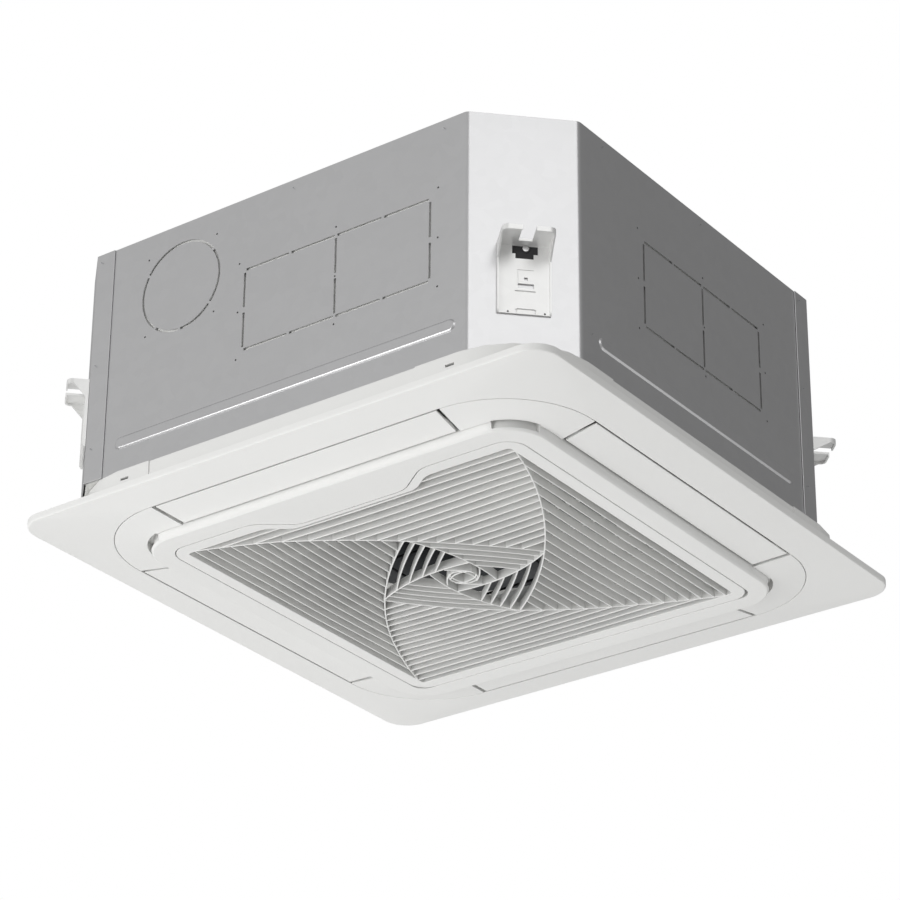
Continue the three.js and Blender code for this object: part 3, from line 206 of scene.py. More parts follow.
def outward(obj):
    """Merges doubles and turns every face outwards."""
    bm = bmesh.new()
    bm.from_mesh(obj.data)
    bmesh.ops.remove_doubles(bm, verts=bm.verts, dist=1e-6)
    bmesh.ops.recalc_face_normals(bm, faces=bm.faces)
    bm.to_mesh(obj.data)
    bm.free()
    return obj


def applied(obj):
    """Turns the modifiers' result into the object's own plain mesh."""
    graph = bpy.context.evaluated_depsgraph_get()
    mesh = bpy.data.meshes.new_from_object(obj.evaluated_get(graph))
    obj.modifiers.clear()
    obj.data = mesh
    return obj


def shaded(obj, degrees=32):
    """Smooth sides, with every large face kept flat to the eye."""
    obj.data.shade_smooth()
    obj.data.set_sharp_from_angle(angle=math.radians(degrees))
    level = obj.modifiers.new("level", "WEIGHTED_NORMAL")
    level.keep_sharp = True
    return applied(obj)


def softened(obj, width, segments=2, degrees=35):
    """Rounds the edges a little."""
    bevel = obj.modifiers.new("edges", "BEVEL")
    bevel.width = width * MM
    bevel.segments = segments
    bevel.limit_method = "ANGLE"
    bevel.angle_limit = math.radians(degrees)
    return applied(obj)


def combined(obj, tools, operation="DIFFERENCE"):
    """Cuts the tools out of the object, adds them to it or keeps what they share."""
    for tool in tools:
        modifier = obj.modifiers.new("cut", "BOOLEAN")
        modifier.operation = operation
        modifier.solver = "EXACT"
        modifier.object = tool
    applied(obj)
    for tool in tools:
        bpy.data.objects.remove(tool)
    return obj


def joined(name, parts):
    """One object from several, each with its own materials."""
    bm = bmesh.new()
    materials = []
    for part in parts:
        start = len(bm.faces)
        bm.from_mesh(part.data)
        bm.faces.ensure_lookup_table()
        own = list(part.data.materials)
        for m in own:
            if m not in materials:
                materials.append(m)
        for face in bm.faces[start:]:
            if own:
                face.material_index = materials.index(own[face.material_index])
    obj = parts[0]
    bm.to_mesh(obj.data)
    bm.free()
    obj.data.materials.clear()
    for m in materials:
        obj.data.materials.append(m)
    for part in parts[1:]:
        bpy.data.objects.remove(part)
    obj.name = name
    return obj


def turned(obj, turns, name):
    """A copy turned about the vertical by quarter turns."""
    copy = obj.copy()
    copy.data = obj.data.copy()
    copy.name = name
    bpy.context.scene.collection.objects.link(copy)
    return quarter_turned(copy, turns)


def node_copy(node, name):
    """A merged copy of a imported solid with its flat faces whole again."""
    obj = NODES[node].copy()
    obj.data = NODES[node].data.copy()
    obj.name = name
    obj.parent = None
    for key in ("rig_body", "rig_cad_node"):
        if key in obj:
            del obj[key]
    bpy.context.scene.collection.objects.link(obj)
    bm = bmesh.new()
    bm.from_mesh(obj.data)
    bmesh.ops.remove_doubles(bm, verts=bm.verts, dist=1e-5)
    bmesh.ops.dissolve_limit(bm, angle_limit=math.radians(1.5), verts=bm.verts, edges=bm.edges)
    bm.to_mesh(obj.data)
    bm.free()
    return obj


def bend(start, corner, end, steps):
    """Points of a curve whose two ends aim at the corner."""
    a, b, c = Vector(start), Vector(corner), Vector(end)
    shares = [k / steps for k in range(steps + 1)]
    return [tuple(a * (1 - t) ** 2 + b * 2 * t * (1 - t) + c * t ** 2) for t in shares]


def rounded_square(a, r, steps):
    """Outline with half width a and corner radius r."""
    points = []
    for q in range(4):
        cx = (a - r) * (1 if q in (0, 3) else -1)
        cy = (a - r) * (1 if q < 2 else -1)
        for i in range(steps + 1):
            t = (q + i / steps) * math.pi / 2
            points.append((cx + r * math.cos(t), cy + r * math.sin(t)))
    return points


def rounded_outline(outline, radii, steps=6):
    """The closed outline with some corners rounded, each by its own radius."""
    flat = filleted([(x, y, 0) for x, y in outline], radii, steps)
    return [(x, y) for x, y, _ in flat]


def ring_of(name, section, steps=20):
    """A closed section of points (half width, corner radius, height), carried round the square."""
    verts = []
    for a, r, z in section:
        verts += [(x, y, z) for x, y in rounded_square(a, max(r, 0.01), steps)]
    count = 4 * (steps + 1)
    faces = []
    for i in range(len(section)):
        k = (i + 1) % len(section)
        for j in range(count):
            n = (j + 1) % count
            faces.append((i * count + j, i * count + n, k * count + n, k * count + j))
    return outward(new_object(name, verts, faces))


def filleted(section, radii, steps=4):
    """The closed section with its corners rounded, each by its own radius."""
    out = []
    for i, point in enumerate(section):
        p = Vector(point)
        before = Vector(section[i - 1]) - p
        after = Vector(section[(i + 1) % len(section)]) - p
        radius = radii.get(i, 0)
        if not radius:
            out.append(tuple(p))
            continue
        reach = min(radius, 0.45 * before.length, 0.45 * after.length)
        out += bend(p + before.normalized() * reach, p, p + after.normalized() * reach, steps)
    return out


def prism(name, outline, z0, z1):
    n = len(outline)
    verts = [(x, y, z0) for x, y in outline] + [(x, y, z1) for x, y in outline]
    faces = [tuple(range(n)), tuple(range(n, 2 * n))]
    faces += [(i, (i + 1) % n, n + (i + 1) % n, n + i) for i in range(n)]
    return outward(new_object(name, verts, faces))


def block(name, low, high):
    (x0, y0, z0), (x1, y1, z1) = low, high
    return prism(name, [(x0, y0), (x1, y0), (x1, y1), (x0, y1)], z0, z1)


def rod(name, axis, at, start, end, radius, steps=32):
    """A round bar along an axis, through a point of the plane across it."""
    verts = []
    for along in (start, end):
        for i in range(steps):
            t = 2 * math.pi * i / steps
            a, b = at[0] + radius * math.cos(t), at[1] + radius * math.sin(t)
            verts.append({"x": (along, a, b), "y": (a, along, b), "z": (a, b, along)}[axis])
    faces = [tuple(range(steps)), tuple(range(steps, 2 * steps))]
    faces += [(i, (i + 1) % steps, steps + (i + 1) % steps, steps + i) for i in range(steps)]
    return outward(new_object(name, verts, faces))


def lathe(name, profile, steps=72):
    """A closed profile of (radius, height) turned about the vertical."""
    verts = []
    for r, z in profile:
        verts += [(r * math.cos(2 * math.pi * i / steps), r * math.sin(2 * math.pi * i / steps), z)
                  for i in range(steps)]
    faces = []
    for i in range(len(profile)):
        k = (i + 1) % len(profile)
        for j in range(steps):
            n = (j + 1) % steps
            faces.append((i * steps + j, i * steps + n, k * steps + n, k * steps + j))
    return outward(new_object(name, verts, faces))


# ---------- plans ----------
def quarter(point, turns):
    x, y = point
    for _ in range(turns % 4):
        x, y = -y, x
    return (x, y)


def arc_points(start, end, radius, count):
    """Points on an arc that bulges to the right of the way from one end to the other."""
    a, b = Vector(start), Vector(end)
    half = (b - a).length / 2
    ux, uy = (b - a).normalized()
    back = math.sqrt(radius * radius - half * half)
    c = (a + b) / 2 + Vector((-uy, ux)) * back
    t0 = math.atan2(a.y - c.y, a.x - c.x)
    sweep = 2 * math.asin(half / radius)
    angles = [t0 + sweep * i / count for i in range(count + 1)]
    return [(c.x + radius * math.cos(t), c.y + radius * math.sin(t)) for t in angles]


def meet(curve, a, b, d):
    """Where a curve of points meets the line a x + b y = d, or None."""
    for p, q in zip(curve, curve[1:]):
        fp, fq = a * p[0] + b * p[1] - d, a * q[0] + b * q[1] - d
        if fp * fq <= 0 and fp != fq:
            t = fp / (fp - fq)
            return (p[0] + (q[0] - p[0]) * t, p[1] + (q[1] - p[1]) * t)
    return None


def slot_half(u):
    return SLOT_IN + (SLOT_OUT - SLOT_IN) * (u - BASE) / (SEAM - BASE)


def side_plan(u0, u1, half):
    """Trapezium between two distances from the centre on the -Y side."""
    return [(-half(u1), -u1), (half(u1), -u1), (half(u0), -u0), (-half(u0), -u0)]


def jog_half(y, top, base, outer):
    return lambda u: top + (base - top) * (u - y) / (outer - y)


def jog_line(y, top, base, outer, u):
    """Step of the grille's edge as an open line, its four corners rounded."""
    half = jog_half(y, top, base, outer)
    right = [(top, -y), (half(u), -u), (half(u) + JOG_RUN, -u)]
    left = [(-px, py) for px, py in reversed(right)]
    return rounded_outline(left + right, dict.fromkeys((1, 2, 3, 4), JOG_ROUND))


def jog_outline(line, u):
    """The step's line, closed by a straight edge at a distance from the centre."""
    return [(-JOG_HALF, -u)] + line[1:-1] + [(JOG_HALF, -u)]


def body_plan(a):
    """Plan of the body with half width a."""
    def cut(v):
        return v - (BODY - a) * (2 - math.sqrt(2))
    n, r, f, left = cut(NEAR_C), cut(RIGHT_C), cut(FAR_C), cut(LEFT_C)
    return [(a - n, -a), (a, -a + n), (a, a - r), (a - r, a),
            (-a + f, a), (-a, a - f), (-a, -a + left), (-a + left, -a)]


# ---------- shader expressions ----------
class Value:
    """A shader socket that can stand in sums and products."""

    def __init__(self, shading, socket):
        self.shading = shading
        self.socket = socket

    def _math(self, operation, first, second):
        return self.shading.node("ShaderNodeMath", {"operation": operation}, {0: first, 1: second})

    def __add__(self, other):
        return self._math("ADD", self, other)

    def __rsub__(self, other):
        return self._math("SUBTRACT", other, self)

    def __mul__(self, other):
        return self._math("MULTIPLY", self, other)

    def most(self, other):
        return self._math("MAXIMUM", self, other)

    __radd__ = __add__
    __rmul__ = __mul__


class Shading:
    """Builds one shader tree."""

    def __init__(self, tree):
        self.tree = tree

    def node(self, kind, settings, inputs, output=0):
        made = self.tree.nodes.new(kind)
        for key, value in settings.items():
            setattr(made, key, value)
        for key, value in inputs.items():
            if isinstance(value, Value):
                self.tree.links.new(value.socket, made.inputs[key])
            else:
                made.inputs[key].default_value = value
        return Value(self, made.outputs[output])

    def end(self, kind, shader):
        out = self.tree.nodes.new(kind)
        self.tree.links.new(shader.socket, out.inputs["Surface"])


class Finish(Shading):
    """Builds one procedural material on Object coordinates."""

    def __init__(self, name):
        self.material = bpy.data.materials.new(name)
        self.material.use_nodes = True
        self.material.node_tree.nodes.clear()
        super().__init__(self.material.node_tree)
        self.place = self.node("ShaderNodeTexCoord", {}, {}, "Object")

    def noise(self, scale, detail=2.0, stretch=(1, 1, 1)):
        spot = self.node("ShaderNodeMapping", {}, {"Vector": self.place, "Scale": stretch})
        return self.node("ShaderNodeTexNoise", {}, {"Vector": spot, "Scale": scale, "Detail": detail})

    def cells(self, scale, output):
        inputs = {"Vector": self.place, "Scale": scale}
        return self.node("ShaderNodeTexVoronoi", {"feature": "F1"}, inputs, output)

    def mixed(self, share, first, second):
        """Between two colours."""
        inputs = {"Factor": share, 6: (*first, 1), 7: (*second, 1)}
        return self.node("ShaderNodeMix", {"data_type": "RGBA"}, inputs, 2)

    def bump(self, height, strength, distance):
        inputs = {"Height": height, "Strength": strength, "Distance": distance}
        return self.node("ShaderNodeBump", {}, inputs)

    def surface(self, **inputs):
        """The finished surface. Keys are the shader's socket names with _ for a space."""
        names = {key.replace("_", " "): value for key, value in inputs.items()}
        self.end("ShaderNodeOutputMaterial", self.node("ShaderNodeBsdfPrincipled", {}, names))
        return self.material


def shade(colour, factor):
    return tuple(min(1.0, c * factor) for c in colour)


def moulded_plastic(name, colour, roughness=0.42, grain=0.04):
    """Injection-moulded plastic: a faint cloudiness and a very fine spark-eroded grain."""
    f = Finish(name)
    broad = f.noise(7.0, 3.0)
    fine = f.noise(1400.0, 1.0)
    return f.surface(
        Base_Color=f.mixed(broad, shade(colour, 0.975), shade(colour, 1.015)),
        Roughness=broad * 0.08 + (roughness - 0.04),
        Normal=f.bump(fine, grain, 0.0004),
        IOR=1.48)


def zinc_sheet(name, colour, roughness=0.42, metallic=0.6):
    """Zinc-coated sheet: pale spangle cells, rolling streaks and handling haze."""
    f = Finish(name)
    spangle = f.node("ShaderNodeSeparateColor", {}, {"Color": f.cells(90.0, "Color")})
    streaks = f.noise(14.0, 3.0, (1.0, 1.0, 9.0))
    haze = f.noise(5.0, 4.0)
    tone = spangle * 0.3 + streaks * 0.3 + haze * 0.4
    return f.surface(
        Base_Color=f.mixed(tone, shade(colour, 0.96), shade(colour, 1.04)),
        Metallic=metallic,
        Roughness=haze * 0.05 + streaks * 0.03 + (roughness - 0.04),
        Normal=f.bump(f.noise(420.0, 2.0), 0.03, 0.0003))


def drawn_metal(name, colour, roughness=0.3, metallic=0.95):
    f = Finish(name)
    haze = f.noise(40.0, 3.0)
    lines = f.noise(300.0, 2.0, (1.0, 1.0, 6.0))
    return f.surface(
        Base_Color=f.mixed(haze, shade(colour, 0.85), shade(colour, 1.05)),
        Metallic=metallic,
        Roughness=lines * 0.14 + (roughness - 0.07),
        Normal=f.bump(lines, 0.06, 0.0003))


def expanded_foam(name, colour):
    """Beaded foam with dimples between its beads; its colour is lighter at the bead centres and darker in
    the dimples, painted shade, mixed with a random broad tone.
    """
    f = Finish(name)
    beads = f.cells(260.0, "Distance")
    broad = f.noise(12.0, 3.0)
    return f.surface(
        Base_Color=f.mixed(beads * 0.6 + broad * 0.4, shade(colour, 1.04), shade(colour, 0.9)),
        Roughness=0.92,
        Normal=f.bump(1 - beads, 0.5, 0.0012))


def circuit_board(name, colour):
    f = Finish(name)
    tracks = f.node("ShaderNodeTexBrick", {}, {"Vector": f.place, "Scale": 60.0}, 1)
    return f.surface(
        Base_Color=f.mixed(tracks, shade(colour, 1.25), colour),
        Roughness=0.4,
        Normal=f.bump(tracks, 0.2, 0.0005))


def woven_mesh(name, colour):
    """Fine filter cloth in its frame."""
    f = Finish(name)
    weave = f.node("ShaderNodeTexChecker", {}, {"Vector": f.place, "Scale": 500.0}, 1)
    return f.surface(
        Base_Color=f.mixed(weave, shade(colour, 1.6), shade(colour, 0.7)),
        Roughness=0.8,
        Specular_IOR_Level=0.1,
        Normal=f.bump(weave, 0.4, 0.0006))


# ---------- finishes ----------
WHITE = (0.80, 0.80, 0.785)
FINISHES = {
    "panel_white": moulded_plastic("panel_plastic", WHITE),
    "cover_white": moulded_plastic("cover_plastic", WHITE),
    "vane_white": moulded_plastic("vane_plastic", shade(WHITE, 1.01)),
    "grille_white": moulded_plastic("grille_plastic", WHITE),
    "housing_white": moulded_plastic("housing_plastic", shade(WHITE, 0.95), 0.55, 0.08),
    "sheet_zinc": zinc_sheet("casing_zinc", (0.60, 0.60, 0.605), 0.3, 0.9),
    "bracket_zinc": zinc_sheet("bracket_zinc", (0.84, 0.84, 0.83), 0.34, 0.45),
    "foam_white": expanded_foam("white_foam", (0.85, 0.85, 0.83)),
    "coil_fins": drawn_metal("coil_fins", (0.66, 0.68, 0.7), 0.38),
    "steel_inside": zinc_sheet("inner_zinc", (0.6, 0.61, 0.615)),
    "fan_plastic": moulded_plastic("fan_plastic", (0.055, 0.06, 0.065), 0.5, 0.1),
    "mouth_plastic": moulded_plastic("mouth_plastic", (0.045, 0.048, 0.052), 0.5, 0.1),
    # near-black filter: partly the cloth's own dark colour, partly painted shade of the hollow behind the
    # slats
    "filter_mesh": woven_mesh("filter_cloth", (0.006, 0.006, 0.007)),
    "motor_steel": drawn_metal("motor_can", (0.35, 0.36, 0.37), 0.4, 0.8),
    "shaft_steel": drawn_metal("turned_steel", (0.6, 0.6, 0.6)),
    # black finish, also on the plate behind the bracket windows, where it is painted shade
    "rubber_black": moulded_plastic("damper_rubber", (0.03, 0.03, 0.032), 0.75, 0.15),
    "copper_pipe": drawn_metal("drawn_copper", (0.72, 0.35, 0.2), 0.28),
    "nut_brass": drawn_metal("nut_brass", (0.72, 0.52, 0.24), 0.28),
    "drain_plastic": moulded_plastic("drain_plastic", (0.18, 0.185, 0.19), 0.5, 0.1),
    "board_green": circuit_board("board_lacquer", (0.02, 0.12, 0.06)),
    "block_black": moulded_plastic("terminal_plastic", (0.02, 0.02, 0.022), 0.45, 0.08),
    "float_white": moulded_plastic("float_plastic", (0.75, 0.75, 0.74), 0.5, 0.08),
}


def placed(obj, body, slot, *nodes):
    """Dresses a finished piece: material, slot, body and the solids that it stands for."""
    obj.data.materials.clear()
    obj.data.materials.append(FINISHES[slot])
    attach(obj, body)
    if nodes:
        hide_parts(*nodes)
    return obj


def dress_nodes():
    for entry in frame["record"]["subparts"]:
        node = NODES[entry["node"]]
        for slot in node.material_slots:
            slot.material = FINISHES[entry["material_slot"]]


# ---------- decoration panel ----------
def wall(a, z):
    return (a, a - CORNER_C, z)


def foot_curve():
    """Short hollow wall from the band down to the flat face."""
    corner, end = (BASE - 0.3 * FOOT_W, FACE_Z + FOOT_BEND), (BASE - FOOT_W, FACE_Z)
    points = []
    for t in [i / 8 for i in range(9)]:
        a = BASE * (1 - t) ** 2 + corner[0] * 2 * t * (1 - t) + end[0] * t ** 2
        z = BASE_Z * (1 - t) ** 2 + corner[1] * 2 * t * (1 - t) + end[1] * t ** 2
        points.append(wall(a, z))
    return points


def panel_section():
    edge, edge_r = GRILLE + GRILLE_FIT, GRILLE_R + GRILLE_FIT
    rim, rim_r = SEAM + SEAM_FIT, SEAM_R + SEAM_FIT
    roof = COVER_T + SEAM_FIT
    rounded = filleted([
        (PANEL, PANEL_R, CEILING), (PANEL, PANEL_R, RIM_Z), (rim, rim_r, SEAM_Z),
        (rim, rim_r, SEAM_Z + roof), wall(BASE, BASE_Z + roof)], {1: RIM_SOFT, 2: SEAM_SOFT})
    inner = filleted([
        wall(BASE - FOOT_W, FACE_Z), (edge, edge_r, FACE_Z), (edge, edge_r, SEAT_Z),
        (SEAT, SEAT_R, SEAT_Z), (SEAT, SEAT_R, CEILING)], {1: FACE_SOFT})
    return rounded + foot_curve() + inner[1:]


def vane_slot():
    return prism("slot", side_plan(BASE, SEAM + SEAM_FIT, slot_half), 0, CEILING + CUT)


def notch():
    """Curved finger notch in the near corner."""
    def at(r, t):
        return (CORNER_C + r * math.cos(math.radians(t)), -CORNER_C + r * math.sin(math.radians(t)))
    steps = [-45 - NOTCH_HALF + NOTCH_HALF * i / 8 for i in range(17)]
    outline = [at(NOTCH_OUT, t) for t in steps] + [at(NOTCH_IN, t) for t in reversed(steps)]
    return prism("notch", outline, NOTCH_LOW, NOTCH_TOP)


def around(make):
    """The tool of one side on all four."""
    first = make()
    return [first] + [turned(first, i, "turned") for i in (1, 2, 3)]


def receiver_shelf():
    """Part of the frame that reaches into the grille."""
    edge = GRILLE + GRILLE_FIT
    line = jog_line(JOG_Y + GRILLE_FIT, JOG_TOP - JOG_FIT, JOG_BASE - JOG_FIT, edge, edge)
    return prism("shelf", jog_outline(line, edge + SKIN_T), FACE_Z, FACE_Z + SHELF_T)


def swing_room():
    """Relief of the opening's two corners beside the grille's hinge."""
    edge = GRILLE + GRILLE_FIT
    room = prism("room", rounded_square(edge, SWING_R, 8), 0, SWING_Z)
    beside = block("beside", (-edge - 1, edge / 2, -1), (edge + 1, edge + 1, SWING_Z + 1))
    return combined(room, [beside], "INTERSECT")


def hinge_lugs():
    """Lugs of the frame between the grille's knuckles."""
    made = []
    for x in (-HINGE_X, HINGE_X):
        low, high, back = x - LUG_HALF, x + LUG_HALF, HINGE_Y - KNUCKLE_R
        lug = rod("lug", "x", (HINGE_Y, HINGE_Z), low, high, KNUCKLE_R, 24)
        neck = block("neck", (low, back, HINGE_Z), (high, HINGE_Y - GAP, SEAT_Z + SKIN_T / 2))
        arm = block("arm", (low - 1, back - 1, SEAT_Z + 1), (high + 1, SEAT + SKIN_T, SEAT_Z + SKIN_T))
        made.append(combined(lug, [neck, arm], "UNION"))
    return made


def panel():
    ring = ring_of("panel_face", panel_section())
    combined(ring, [receiver_shelf()], "UNION")
    combined(ring, around(vane_slot) + around(notch) + [swing_room()])
    return shaded(joined("panel_face", [ring] + hinge_lugs()))


def corner_cover():
    a, r = SEAM - SEAM_FIT, SEAM_R - SEAM_FIT
    inner = BASE + GAP
    section = filleted([
        (a, r, SEAM_Z), (a, r, SEAM_Z + COVER_T), wall(inner, BASE_Z + COVER_T), wall(inner, BASE_Z)],
        {0: COVER_SOFT, 3: COVER_IN_SOFT})
    ring = ring_of("cover_ring", section, 32)
    near, far = WEDGE_IN, WEDGE_OUT
    k, m = slot_half(near) + GAP, slot_half(far) + GAP
    tip = k - WEDGE_RUN
    outline = [(tip, -tip), (k, -near), (m, -far), (PANEL, -PANEL), (far, -m), (near, -k)]
    wedge = prism("wedge", outline, 0, WEDGE_TOP)
    combined(ring, [wedge], "INTERSECT")
    return shaded(combined(ring, [notch()]))


def add_panel():
    placed(panel(), "unit", "panel_white", "panel_frame")
    cover = corner_cover()
    for i, corner in enumerate(CORNERS):
        piece = turned(cover, i, f"moulded_cover_{corner}")
        placed(piece, "unit", "cover_white", f"corner_cover_{corner}")
    bpy.data.objects.remove(cover)
    for side in SIDES:
        vane = shaded(softened(node_copy(f"vane_{side}", f"moulded_vane_{side}"), 0.5))
        placed(vane, f"air_vane_{side}", "vane_white", f"vane_{side}")


# ---------- swirl grille ----------
LONG_ARC = arc_points(ARC_FROM, (0, SQUARE), ARC_R, 28)
SHORT_ARC = arc_points((1, -SQUARE), (SUB_TO, SUB_TO), SUB_R, 14)


def outer_slats():
    before = [quarter(p, 3) for p in LONG_ARC]
    lines = []
    for i in range(SLATS):
        y = SLAT_PITCH * i - SLAT_FIRST
        lines.append([meet(before, 0, 1, y), meet(LONG_ARC, 0, 1, y)])
    return lines


def crossing(curve, other):
    """Where one curve of points crosses another, and on which of its steps, or None."""
    for step, (p, q) in enumerate(zip(curve, curve[1:])):
        dx, dy = q[0] - p[0], q[1] - p[1]
        at = meet(other, -dy, dx, dx * p[1] - dy * p[0])
        if at and 0 <= (at[0] - p[0]) * dx + (at[1] - p[1]) * dy <= dx * dx + dy * dy:
            return step, at
    return None


def inner_slats():
    """Slats between two short arcs, curved like the long arc at their side of the middle square."""
    first, second = ([quarter(p, turns) for p in SHORT_ARC] for turns in (1, 2))
    lines = []
    for i in range(SUB_SLATS):
        shift = SUB_PITCH * (i + 1) * math.sqrt(0.5)
        curve = [(x - shift, y - shift) for x, y in LONG_ARC]
        start, end = crossing(curve, first), crossing(curve, second)
        if start and end:
            lines.append([start[1]] + curve[start[0] + 1:end[0] + 1] + [end[1]])
    return lines


def hub_lines():
    """A quarter of the hub: its ring, a bowed rib across it and an arm out to the next arc."""
    def at(degrees):
        t = math.radians(degrees)
        return (HUB_R * math.cos(t), HUB_R * math.sin(t))
    ring = [at(90 * i / 16) for i in range(17)]
    bow = arc_points(at(HUB_BOW[0]), at(HUB_BOW[1]), HUB_R * 1.6, 8)
    return [ring, bow, arc_points((SUB_TO, -HUB_ARM), (HUB_ARM, HUB_R), HUB_ARM_R, 6)]


def belly(x, y):
    """Height of the slats' lower edges."""
    return FACE_Z * min(1, (x * x + y * y) / (AIR * AIR))


def without_jog(line):
    """Ends a straight slat of the -Y side at the walls of the grille's step."""
    (x0, y0), (x1, y1) = line[0], line[-1]
    if abs(y0 - y1) > 0.01 or y0 > -JOG_AIR_Y or len(line) > 2:
        return [line]
    half = jog_half(JOG_AIR_Y, JOG_AIR_TOP, JOG_AIR_BASE, AIR)(-y0)
    return [[(x0, y0), (-half, y0)], [(half, y0), (x1, y0)]]


def split(line, step=9.0):
    """The line with points close enough to follow the belly."""
    points = []
    for p, q in zip(line, line[1:]):
        dx, dy = q[0] - p[0], q[1] - p[1]
        count = max(1, round(math.dist(p, q) / step))
        points += [(p[0] + dx * i / count, p[1] + dy * i / count) for i in range(count)]
    return points + [line[-1]]


def swirl_lines():
    """Arcs, slats and hub, as paths of (x, y, z) of their lower edge."""
    arcs = [(LONG_ARC, 0), (SHORT_ARC, ARC_LIFT)]
    slats = [(line, SLAT_LIFT) for line in outer_slats() + inner_slats() + hub_lines()]
    paths = []
    for turns in range(4):
        for line, lift in arcs + slats:
            for piece in without_jog([quarter(p, turns) for p in line]):
                paths.append([(x, y, belly(x, y) + lift) for x, y in split(piece)])
    return paths


def rib_lines():
    """Low ribs behind the slats, across them."""
    paths = []
    before = [quarter(p, 3) for p in LONG_ARC]
    for turns in range(4):
        for x in RIB_AT:
            end = meet(before, 1, 0, x) or meet(LONG_ARC, 1, 0, x)
            start = -JOG_AIR_Y if turns == 0 and abs(x) < JOG_AIR_BASE else -SLAT_FIRST
            if end and end[1] > start:
                line = [quarter(p, turns) for p in ((x, start), (x, end[1]))]
                paths.append([(px, py, belly(px, py) + RIB_LOW) for px, py in split(line)])
    return paths


def slat_profile(height):
    """Upright section with a rounded lower edge, x across and y falling towards its top."""
    half, n = SLAT_T / 2, 4
    angles = [math.pi * i / n for i in range(n + 1)]
    foot = [(half * math.cos(t), half * math.sin(t) - half) for t in angles]
    return foot + [(-half * 0.8, -height), (half * 0.8, -height)]


class Growth:
    """Builds one geometry tree with named inputs."""

    def __init__(self, name, inputs):
        self.tree = bpy.data.node_groups.new(name, "GeometryNodeTree")
        face = self.tree.interface
        face.new_socket("Geometry", in_out="INPUT", socket_type="NodeSocketGeometry")
        self.sockets = {}
        for label, kind in inputs:
            self.sockets[label] = face.new_socket(label, in_out="INPUT", socket_type=kind)
        face.new_socket("Geometry", in_out="OUTPUT", socket_type="NodeSocketGeometry")
        self.start = self.tree.nodes.new("NodeGroupInput")
        self.end = self.tree.nodes.new("NodeGroupOutput")

    def node(self, kind, settings, inputs, output=0):
        made = self.tree.nodes.new(kind)
        for key, value in settings.items():
            setattr(made, key, value)
        for key, value in inputs.items():
            if isinstance(value, bpy.types.NodeSocket):
                self.tree.links.new(value, made.inputs[key])
            else:
                made.inputs[key].default_value = value
        return made.outputs[output]

    def close(self, geometry, material):
        real = self.node("GeometryNodeRealizeInstances", {}, {0: geometry})
        dressed = self.node("GeometryNodeSetMaterial", {}, {0: real, "Material": material})
        self.tree.links.new(dressed, self.end.inputs[0])

    def grow(self, obj, values):
        """Runs the tree on an object and keeps its plain mesh."""
        modifier = obj.modifiers.new("growth", "NODES")
        modifier.node_group = self.tree
        for label, value in values.items():
            modifier[self.sockets[label].identifier] = value
        return applied(obj)


def paths_object(name, paths):
    """A mesh of loose edge chains."""
    verts, edges = [], []
    for path in paths:
        start = len(verts)
        verts += path
        edges += [(start + i, start + i + 1) for i in range(len(path) - 1)]
    return new_object(name, verts, [], edges)


def profile_object(name, points):
    """A closed flat outline that a path carries."""
    n = len(points)
    return new_object(name, [(x, y, 0) for x, y in points], [], [(i, (i + 1) % n) for i in range(n)])


def upright_sweep(name, paths, profile, material):
    """Geometry nodes carry an upright profile along every path."""
    outline = profile_object("outline", profile)
    growth = Growth(name, [("Profile", "NodeSocketObject")])
    source = growth.start.outputs
    curve = growth.node("GeometryNodeMeshToCurve", {}, {0: source["Geometry"]})
    upright = growth.node("GeometryNodeSetCurveNormal", {"mode": "Z_UP"}, {0: curve})
    shape = growth.node("GeometryNodeObjectInfo", {}, {"Object": source["Profile"]}, "Geometry")
    section = growth.node("GeometryNodeMeshToCurve", {}, {0: shape})
    swept = growth.node("GeometryNodeCurveToMesh", {}, {0: upright, 1: section, "Fill Caps": True})
    growth.close(swept, material)
    obj = growth.grow(paths_object(name, paths), {"Profile": outline})
    bpy.data.objects.remove(outline)
    return outward(obj)


def grille_border():
    """Flat rim of the grille with the wall round its slats, stepped on the -Y side."""
    top = FACE_Z + GRILLE_T
    rim = ring_of("grille_border", filleted([
        (GRILLE, GRILLE_R, FACE_Z), (GRILLE, GRILLE_R, top), (AIR + SLAT_T, AIR_R + SLAT_T, top),
        (AIR + SLAT_T, AIR_R + SLAT_T, AIR_WALL), (AIR, AIR_R, AIR_WALL), (AIR, AIR_R, FACE_Z)],
        {0: FACE_SOFT, 5: COVER_SOFT}), 16)
    outer = jog_line(JOG_Y, JOG_TOP, JOG_BASE, GRILLE, GRILLE)
    inner = jog_line(JOG_AIR_Y, JOG_AIR_TOP, JOG_AIR_BASE, AIR, AIR)
    step = prism("step", jog_outline(inner, AIR + 1), FACE_Z, AIR_WALL - 0.1)
    combined(rim, [step], "UNION")
    cut = prism("cut", jog_outline(outer, GRILLE + CUT), *JOG_CUT)
    return combined(rim, [cut])


def grille_knuckles():
    """Hinge knuckles at the +Y edge."""
    parts = []
    for x in (-HINGE_X, HINGE_X):
        for side in (-1, 1):
            near = x + side * (LUG_HALF + GAP)
            ends = sorted((near, near + side * KNUCKLE_W))
            parts.append(rod("knuckle", "x", (HINGE_Y, HINGE_Z), *ends, KNUCKLE_R, 24))
    return parts


def add_grille():
    material = FINISHES["grille_white"]
    field = upright_sweep("slats", swirl_lines(), slat_profile(SLAT_H), material)
    ribs = upright_sweep("ribs", rib_lines(), slat_profile(RIB_H), material)
    parts = [grille_border(), field, ribs] + grille_knuckles()
    for part in parts:
        part.data.materials.clear()
        part.data.materials.append(material)
    grille = shaded(joined("swirl_grille", parts))
    placed(grille, "grille", "grille_white", "intake_grille")


